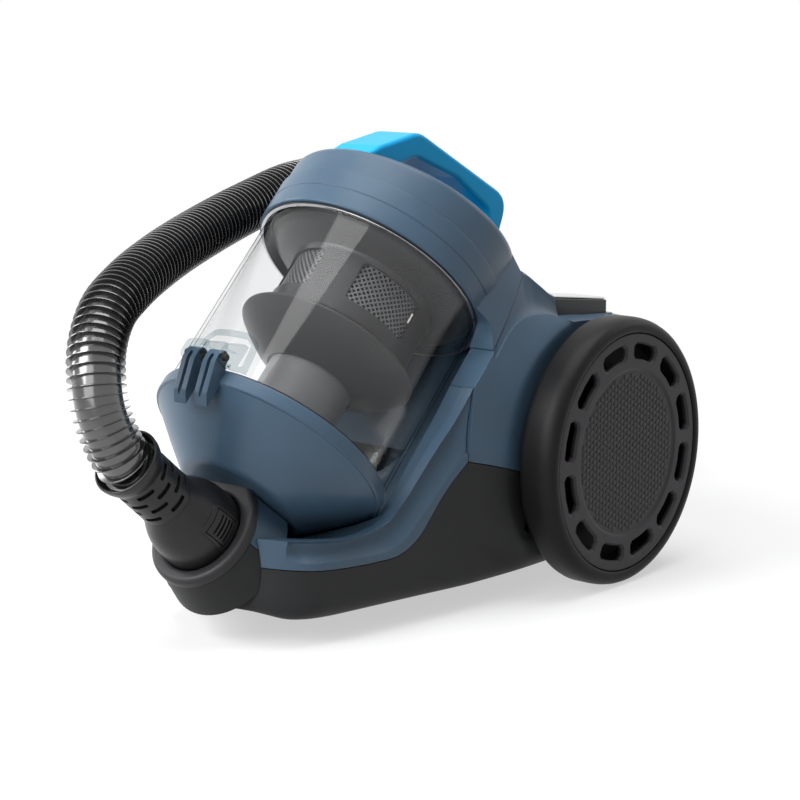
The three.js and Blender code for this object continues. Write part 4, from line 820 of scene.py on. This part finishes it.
sleeve = [
    (16.9, 39.3), (19.2, 39.3), (19.4, 40.2), (19.2, 41.4), (19.2, 71), (19.8, 73), (21.0, 75.5), (22.2, 79),
    (22.8, 83), (22.6, 84), (21.6, 84.2), (21.0, 83.4), (20.4, 80), (19.2, 76.3), (16.9, 76)]
SLOT_ROWS, SLOTS = 4, 6
SLOT_FOOT, SLOT_PITCH, SLOT_TALL = 43.4, 7.6, 3.4
slots = []
for row in range(SLOT_ROWS):
    for i in range(SLOTS):
        slot_at = (i + row / 2) * 2 * pi / SLOTS + 0.3
        slot_foot = SLOT_FOOT + row * SLOT_PITCH
        opening = rounded_box(-6, 6, slot_foot, slot_foot + SLOT_TALL, 1.2, 3)
        slots.append(spun(prism("xz", opening, 8, FAR), slot_at))
sleeve_mesh = cut(turned(sleeve, 96), *slots)
piece("sleeve_skin", moved(sleeve_mesh, SWIVEL), SATIN, "cuff", ["cuff_sleeve"], sharp=40)
piece("sleeve_liner", moved(ring(15.2, 17.0, 39.4, 75.8), SWIVEL), SEAL, "cuff")

# ---- dust bin
SIDES = 160
TUBE_BORE, TUBE_R, TUBE_TOP = 78.1, 80.3, 168
tube_profile = [(TUBE_BORE, 27.4), (80.0, 27.4), (TUBE_R, 27.8), (TUBE_R, TUBE_TOP), (TUBE_BORE, TUBE_TOP)]
piece("bin_glass", moved(turned(tube_profile, SIDES), BIN), CLEAR, "bin", ["bin_tube"], sharp=50)
fill_line = spun(block(80.1, 80.6, -0.45, 0.45, 116, 123.5), radians(-18))
piece("fill_line", moved(fill_line, BIN), PAPER, "bin")
HINGE_Y, HINGE_H, PIN_HOLE_R = -90, 30, 2.5
LUG_X, LUG_HALF = 16.2, 1.6
pin_hole = along_x(disc(PIN_HOLE_R, -40, 40, 32), HINGE_Y, HINGE_H)


def lug(x):
    """One of the bracket's ears, which hold the pin on either side of the flap's knuckles."""
    outline = rounded([
        (-77, 27.6), (-84.2, 27.6), (-85.2, 24.8, 1), (-95, 24.8, 4), (-95.2, 37, 6), (-78, 50, 5)])
    return prism("yz", outline, x - LUG_HALF, x + LUG_HALF)


roof_side = rounded([(-78, 40.5), (-90, 36.6, 1), (-92.5, 38.6, 1.5), (-84, 44, 3), (-78, 47.5)])
roof = prism("yz", roof_side, -17.6, 17.6)
fillet_edge = rounded([(-26, 27.8), (26, 27.8), (24, 50, 5), (16, 56, 6), (-16, 56, 6), (-24, 50, 5)])
fillet_hole = rounded([(-22, 31, 2), (22, 31, 2), (20, 48, 4), (14, 52, 4), (-14, 52, 4), (-20, 48, 4)])
fillet = cut(prism("xz", fillet_edge, -83, -74), prism("xz", fillet_hole, -90, -60))
plate_round = ring(79.2, 82.0, 27.7, 60, SIDES)
bracket = join(lug(-LUG_X), lug(0), lug(LUG_X), roof, meet(fillet, plate_round))
bracket = cut(bracket, disc(80.5, 0, 70, SIDES), pin_hole)
piece("hinge_bracket", moved(bracket, BIN), CLEAR_THICK, "bin", bevel=0.5, bevel_steps=2)

flap_profile = [
    (0, -21), (40, -21), (42.5, -20.6), (44.6, -19.4), (47, -17.3), (62, -3.4), (80.3, 14.6), (80.9, 15.4),
    (82.2, 15.6), (82.9, 16.4), (83, 17.2), (83, 24.0), (82.7, 25.0), (82.0, 25.5), (74.3, 25.5), (74.3, 19),
    (43, -18.4), (0, -18.4)]


def arm(x):
    """A knuckle of the flap, that stands up its front to the pin."""
    side = rounded([
        (-80, -2), (-86, 4, 6), (-94.2, 24, 9), (-94.2, 32, 5), (-90, 35.2, 4), (-85.2, 33, 3), (-84.5, 27.5),
        (-80, 22.5)])
    front = rounded_box(x - ARM_HALF, x + ARM_HALF, -6, 36, 4.6, upper=3.5)
    return meet(prism("yz", side, x - ARM_HALF, x + ARM_HALF), prism("xz", front, -110, -70))


def arm_groove(x):
    front = rounded_box(x - GROOVE_HALF, x + GROOVE_HALF, 0, 29, 1.4, 3)
    deep = rounded([(-110, -10), (-80, -10), (-88.6, 18, 6), (-90.4, 30), (-110, 30)])
    return meet(prism("xz", front, -110, -70), prism("yz", deep, x - 3, x + 3))


ARM_X, ARM_HALF, GROOVE_HALF = 9.2, 5.3, 1.5
arms = cut(join(arm(-ARM_X), arm(ARM_X)), disc(82.2, 25.6, 60, SIDES), disc(81, 17, 26.5, SIDES),
           turned([(0, -22), (43, -21), (82, 17), (0, 17)], SIDES))
grooves = [arm_groove(-ARM_X), arm_groove(ARM_X)]
flap = cut(join(turned(flap_profile, SIDES), arms), pin_hole, *grooves)
piece("flap_shell", moved(flap, BIN), BLUE, "flap", ["bin_flap"], sharp=28)

pin_profile = [(0, -18.3), (1.8, -18.3), (2.2, -17.9), (2.2, 17.9), (1.8, 18.3), (0, 18.3)]
piece("pin_bright", moved(along_x(turned(pin_profile, 32), HINGE_Y, HINGE_H), BIN), SATIN, "bin",
      ["hinge_pin"])
seal_profile = [(75.6, 25.8), (79.9, 25.8), (80.0, 26.5), (79.9, 27.1), (75.6, 27.1)]
piece("seal_ring", moved(turned(seal_profile, 120), BIN), SEAL, "bin", ["flap_seal"])

shroud_wall = turned([
    (50, 108), (52, 108), (52, 150), (53.4, 153), (57, 155), (63, 157), (69, 160), (73.5, 163.6), (77, 167.8),
    (75.2, 167.8), (71.6, 164.6), (67, 161.8), (61, 159.4), (55, 157.4), (52, 156), (52, 175.6), (50, 175.6)],
    120)
WINDOW_HALF, WINDOW_LOW, WINDOW_HIGH, WINDOW_TURN = 25, 119, 149, 0.35
windows = [spun(prism("xz", rounded_box(-WINDOW_HALF, WINDOW_HALF, WINDOW_LOW, WINDOW_HIGH, 4), 30, 70),
                (i + 0.5) * pi / 2 + WINDOW_TURN) for i in range(4)]
piece("shroud_wall", moved(cut(shroud_wall, *windows), BIN), SMOKE, "bin", ["cyclone_shroud"])


def lattice(radius, low, high, strips, lead, width, thick):
    """Two crossed families of fine helical strips."""
    points, faces = [], []
    steps = 14
    for hand in (1, -1):
        for n in range(strips):
            first = len(points)
            for k in range(steps + 1):
                t = k / steps
                a = 2 * pi * n / strips + hand * lead * t
                h = low + (high - low) * t
                way = Vector((hand * lead * radius, high - low)).normalized()
                off = Vector((-way.y, way.x)) * width / 2
                for side, deep in ((1, 0), (-1, 0), (-1, thick), (1, thick)):
                    aa = a + side * off.x / radius
                    r = radius - deep
                    points.append((r * cos(aa), r * sin(aa), h + side * off.y))
            faces += skin_faces(first, 4, steps + 1)
    return solid(points, faces)


mesh_strips = lattice(49.6, WINDOW_LOW - 2, WINDOW_HIGH + 2, strips=72, lead=0.72, width=1.0, thick=0.8)
piece("shroud_lattice", moved(mesh_strips, BIN), MESH, "bin", ["cyclone_mesh"], sharp=40)
skirt_profile = [
    (30.3, 77), (32, 76), (44, 83), (56, 92.4), (63, 98.8), (64, 100), (64, 101.2), (63.4, 101.8),
    (58, 104.4), (52.6, 107.4), (49, 107.7), (30.3, 82)]
piece("skirt_cone", moved(turned(skirt_profile, 120), BIN), SMOKE, "bin", ["cyclone_skirt"])
piece("dust_pipe", moved(ring(28, 30, -17.6, 84, 96), BIN), PIPE, "bin", ["dust_tube"])

# The lid's collar, its side wings and its trims.
collar_profile = [
    (84.0, 163), (84.7, 163.6), (85, 165), (85, 176.0), (84.5, 176.4), (84.5, 177.2), (85, 177.6),
    (85, 190.6), (84.6, 191.3), (83.6, 191.8), (83.5, 200), (83.4, 212.6), (83.0, 214.8), (82.0, 217.2),
    (80.2, 218.5), (78, 219), (0, 219), (0, 216.4), (76, 216.4), (80, 209), (80, 178.6), (42, 178.6),
    (42, 176), (78, 176), (78, 168.3), (80.6, 168.3), (80.6, 163)]
LID_H, LID_RISE = 219, 0.09


def tilted(mesh, start):
    """Tilts the lid's top: the higher a point is above the start, the more it moves."""
    for vertex in mesh.vertices:
        share = min(1, max(0, (vertex.co.z - start) / (LID_H - start)))
        vertex.co.z += share * LID_RISE * vertex.co.y
    return mesh


collar_shell = tilted(turned(collar_profile, SIDES), 192)
FACE = HOUSING_FACE - 2 * SEAT
wing = prism("xy", rounded([(60, -24), (83.0, -22), (85.6, 0, 20), (95, FACE), (52, FACE)]), 145, 227)
wing_top = curve([
    (FACE + 1, 212.4), (42.8, 215), (39.5, 216.8), (36.2, 218.6), (33, 220.4), (29, 221.8), (20, 221),
    (0, 218.8), (-24, 216)], 4)
wing_foot = curve([(-40, 163), (28, 163), (35, 161), (FACE + 1, 148)], 4)
wings = cut(join(*both(wing)), disc(83, 163.1, 213, SIDES), disc(78, 212, 400, SIDES),
            disc(83.3, 0, 163.2, SIDES), prism("yz", wing_foot + [(FACE + 1, 140), (-40, 140)], *WIDE),
            prism("yz", wing_top + [(-24, HIGH), (FACE + 1, HIGH)], *WIDE))
wall_heights = range(120, 251, 5)
wall_edge = [(1, z) for z in wall_heights] + [(-1, z) for z in wall_heights[::-1]]
side_walls = loft([[Vector((side * (half_width(y) - lean(z)), y, z)) for side, z in wall_edge]
                   for y in range(-190, -19, 5)])
shoulders = meet(wings, moved(side_walls, BIN.inverted()))
collar = cut(join(collar_shell, shoulders), duct_port)
piece("collar_shell", moved(collar, BIN), BLUE, "bin", ["lid_collar"])
trim = [(80.6, 161.7), (82.9, 161.7), (83, 162.0), (83, 162.5), (80.6, 162.6)]
piece("collar_trim", moved(turned(trim, SIDES), BIN), SATIN, "bin", ["lid_trim"])
bright_trim = [(80.6, 161.0), (82.0, 161.0), (82.6, 161.2), (82.6, 161.6), (80.6, 161.6)]
piece("trim_line", moved(turned(bright_trim, SIDES), BIN), STEEL, "bin")


def handle_foot(behind):
    """Where the handle meets the lid's sloping top."""
    return (behind, LID_H + LID_RISE * behind + SEAT)


handle_outline = rounded([
    handle_foot(-77), (-72, 223, 3), (-47, 258, 22), (62, 292, 17), (75, 258, 30), handle_foot(76),
    handle_foot(62), (59, 252, 12), (52, 271, 9), (6, 262.5, 14), (-38, 243, 12), handle_foot(-56)], 8)
GRIP_HALF = 18.5
handle = prism("yz", handle_outline, -GRIP_HALF, GRIP_HALF)
piece("handle_grip", moved(handle, BIN), BRIGHT, "bin", ["carry_handle"], bevel=5.2, bevel_steps=6)
button = prism("xz", rounded_box(-11, 11, 238, 252, 3), 74, 79)
piece("latch_button", moved(button, BIN), BRIGHT, "bin_button", ["release_button"], bevel=0.8)

# ---- wheels
tyre_profile = [
    (84.5, 106), (88, 106), (91, 106.3), (93, 107.2), (94.3, 108.8), (95, 111.2), (95, 122), (94.8, 125),
    (94.2, 128), (93.0, 130.8), (91.2, 132.8), (89.0, 133.8), (86.6, 134), (85.2, 133.6), (84.5, 132.8)]
hub_profile = [
    (0, 129), (84.2, 129), (84.2, 131.6), (83.6, 132.6), (82.6, 133), (60.2, 133), (59.2, 132.7),
    (58.2, 131.9), (57.4, 131.6), (0, 131.6)]
SLOT_R, HUB_SLOTS, CELLS_R = 71.5, 12, 54.4


def hub_slot():
    """A slot with cut corners that follows the wheel's rim."""
    def outline(grow):
        half, tall, nip = 13.6 + grow, 5.4 + grow, 3.2
        corners = [
            (-half, -tall + nip), (-half + nip, -tall), (0, -tall), (half - nip, -tall), (half, -tall + nip),
            (half, tall - nip), (half - nip, tall), (0, tall), (-half + nip, tall), (-half, tall - nip)]
        return [(SLOT_R + b, a / SLOT_R) for a, b in corners]
    levels = [(120, 0), (131.4, 0), (133.2, 1.5), (136, 1.5)]
    return loft([[Vector((r * sin(turn), r * cos(turn), z)) for r, turn in outline(g)] for z, g in levels])


def hub_cells():
    """Fine raised cells on the wheel's middle."""
    points, faces = [], []
    pitch, reach = 4.7, 13
    for row in range(-reach, reach + 1):
        for column in range(-reach, reach + 1):
            x = (column + (row % 2) / 2) * pitch
            y = row * pitch * 0.866
            if hypot(x, y) > CELLS_R:
                continue
            first = len(points)
            for radius, z in ((2.2, 131.5), (1.95, 132.0), (1.2, 132.2)):
                points += [(x + radius * cos(a), y + 1.08 * radius * sin(a), z)
                           for a in (pi / 6 + pi / 3 * i for i in range(6))]
            faces += skin_faces(first, 6, 3)
    return solid(points, faces)


tyre = along_x(turned(tyre_profile, SIDES), 0, WHEEL_R)
slot_shapes = [spun(hub_slot(), (i + 0.5) * 2 * pi / HUB_SLOTS) for i in range(HUB_SLOTS)]
hub = along_x(cut(turned(hub_profile, SIDES), *slot_shapes), 0, WHEEL_R)
cells = along_x(hub_cells(), 0, WHEEL_R)
for side, flip in (("right", False), ("left", True)):
    body = f"wheel_{side}"
    piece(f"tyre_{side}_skin", handed(tyre, flip), TYRE, body, [f"tyre_{side}"], sharp=40)
    piece(f"hub_{side}_face", handed(hub, flip), HUB, body, [f"hub_plate_{side}"], sharp=30)
    piece(f"hub_{side}_cells", handed(cells, flip), HUB_CELL, body, sharp=25)

# ---- pedals
def pedal_block(low, high, grow, corner):
    """A block under or over the pedals' sloping line, between two heights off it."""
    side = [(y, pedal_line(at) + height) for y, at, height in (
        (PEDAL_FRONT - grow, PEDAL_FRONT, low), (PEDAL_BACK + grow, PEDAL_BACK, low),
        (PEDAL_BACK + grow, PEDAL_BACK, high), (PEDAL_FRONT - grow, PEDAL_FRONT, high))]
    return meet(prism("xy", pedal_outline(grow, corner), 150, 260), prism("yz", side, 0, FAR))


pedal = pedal_block(-20, 0, 0, 3)
plate = pedal_block(0.3, 1.9, -1, 3)
for side, body, flip in (("rewind", "pedal_rewind", False), ("power", "pedal_power", True)):
    piece(f"{side}_block", handed(pedal, flip), SATIN, body, [f"{side}_pedal"], bevel=0.8)
    piece(f"{side}_plate", handed(plate, flip), CHROME, body, [f"{side}_pedal_plate"], bevel=0.5)

# ---- rear and underside
grille = block(-GRILLE_HALF, GRILLE_HALF, 87, 93, GRILLE_LOW, GRILLE_HIGH)
BAR_X, BAR_HALF, BAR_PITCH = 26, 22.5, 4.2
bars = []
for row in range(-4, 5):
    bar_z = (GRILLE_LOW + GRILLE_HIGH) / 2 + row * BAR_PITCH
    for bar_x in (-BAR_X, BAR_X):
        bar = rounded_box(bar_x - BAR_HALF, bar_x + BAR_HALF, bar_z - 1.2, bar_z + 1.2, 1.1, 3)
        bars.append(prism("xz", bar, 80, 99))
piece("grille_face", cut(grille, *bars), BLACK, "root", ["exhaust_grille"], bevel=0.5, bevel_steps=2)

# ---- finishes of the carried-over nodes
node_finish = {
    "intake_duct": BLACK, "wheel_core": BLACK, "axle_pin": STEEL, "caster_fork": BLACK, "caster_wheel": TYRE,
    "caster_pin": STEEL, "caster_clip": STEEL, "motor_can": STEEL, "fan_cover": STEEL, "motor_shaft": STEEL,
    "motor_mount": SEAL, "reel_spring": BLACK, "reel_axle": STEEL, "control_board": BOARD,
    "power_switch": BLACK, "exhaust_filter": PAPER, "cord_outlet": SATIN, "base_screw": STEEL,
    "filter_frame": BLACK, "foam_filter": FOAM, "hose_grip": SATIN}
for name, node in frame["nodes"].items():
    finish = next((f for key, f in node_finish.items() if name.startswith(key)), GREY)
    node.data.materials.clear()
    node.data.materials.append(finish)

# ---- floor and light
floor_mesh = bpy.data.meshes.new("floor")
floor_mesh.from_pydata([(-6, -6, 0), (6, -6, 0), (6, 12, 0), (-6, 12, 0)], [], [(0, 1, 2, 3)])
floor = bpy.data.objects.new("floor", floor_mesh)
scene.collection.objects.link(floor)


FLOOR_COLOUR, FLOOR_LIFT = (0.42, 0.42, 0.424, 1), 0.54
CLEAR_FROM, CLEAR_TO = 0.5, 1.3
WORLD_LIGHT = 0.08


def camera_like(tree):
    """1 for rays from the camera, mirrors and glass."""
    path = add_node(tree, "LightPath").outputs
    seen = arithmetic(tree, "MAXIMUM", path["Is Camera Ray"], path["Is Glossy Ray"])
    return arithmetic(tree, "MAXIMUM", seen, path["Is Transmission Ray"])


# Near the machine the floor takes its shadow; further off it turns to plain white.
floor_finish = bpy.data.materials.new("pale_floor")
tree = empty_tree(floor_finish)
matt = add_node(tree, "BsdfDiffuse", {"Color": FLOOR_COLOUR})
lift = add_node(tree, "Emission", {"Strength": arithmetic(tree, "MULTIPLY", camera_like(tree), FLOOR_LIFT)})
near = add_node(tree, "AddShader", {0: matt.outputs["BSDF"], 1: lift.outputs["Emission"]})
place = add_node(tree, "TexCoord").outputs["Object"]
reach = add_node(tree, "VectorMath", {0: place}, operation="LENGTH")
limits = {"From Min": CLEAR_FROM, "From Max": CLEAR_TO}
fade = add_node(tree, "MapRange", {"Value": reach.outputs["Value"], **limits},
                interpolation_type="SMOOTHSTEP")
away = arithmetic(tree, "MULTIPLY", fade.outputs["Result"], camera_like(tree))
floor_mix = add_node(tree, "MixShader", {"Fac": away, 1: near.outputs["Shader"],
                                         2: add_node(tree, "Emission").outputs["Emission"]})
add_node(tree, "OutputMaterial", {"Surface": floor_mix.outputs["Shader"]})
floor_mesh.materials.append(floor_finish)

world = bpy.data.worlds.new("studio")
scene.world = world
tree = empty_tree(world)
level = add_node(tree, "MapRange", {"Value": camera_like(tree), "To Min": WORLD_LIGHT, "To Max": 1.0})
sky = add_node(tree, "Background", {"Color": (1, 1, 1, 1), "Strength": level.outputs["Result"]})
add_node(tree, "OutputWorld", {"Surface": sky.outputs["Background"]})


def lamp(name, place, aim, size, power, size_y=None):
    light = bpy.data.lights.new(name, "AREA")
    light.shape = "RECTANGLE"
    light.size, light.size_y = size, size_y or size
    light.energy = power
    made = bpy.data.objects.new(name, light)
    made.location = place
    made.rotation_euler = (Vector(aim) - Vector(place)).to_track_quat("-Z", "Y").to_euler()
    scene.collection.objects.link(made)


lamp("key", (-1.1, -2.3, 1.9), (0, -0.05, 0.15), 1.8, 92)
lamp("front", (0.2, -2.6, 1.3), (0, -0.05, 0.2), 2.2, 42)
lamp("side", (-2.3, -0.5, 0.9), (0, -0.1, 0.2), 0.8, 22, 1.6)
lamp("top", (0.1, 0.1, 2.6), (0, 0, 0.1), 2.2, 56)
lamp("rim", (1.0, 2.2, 1.5), (0, 0.05, 0.2), 1.2, 6)
scene.view_settings.view_transform = "Standard"
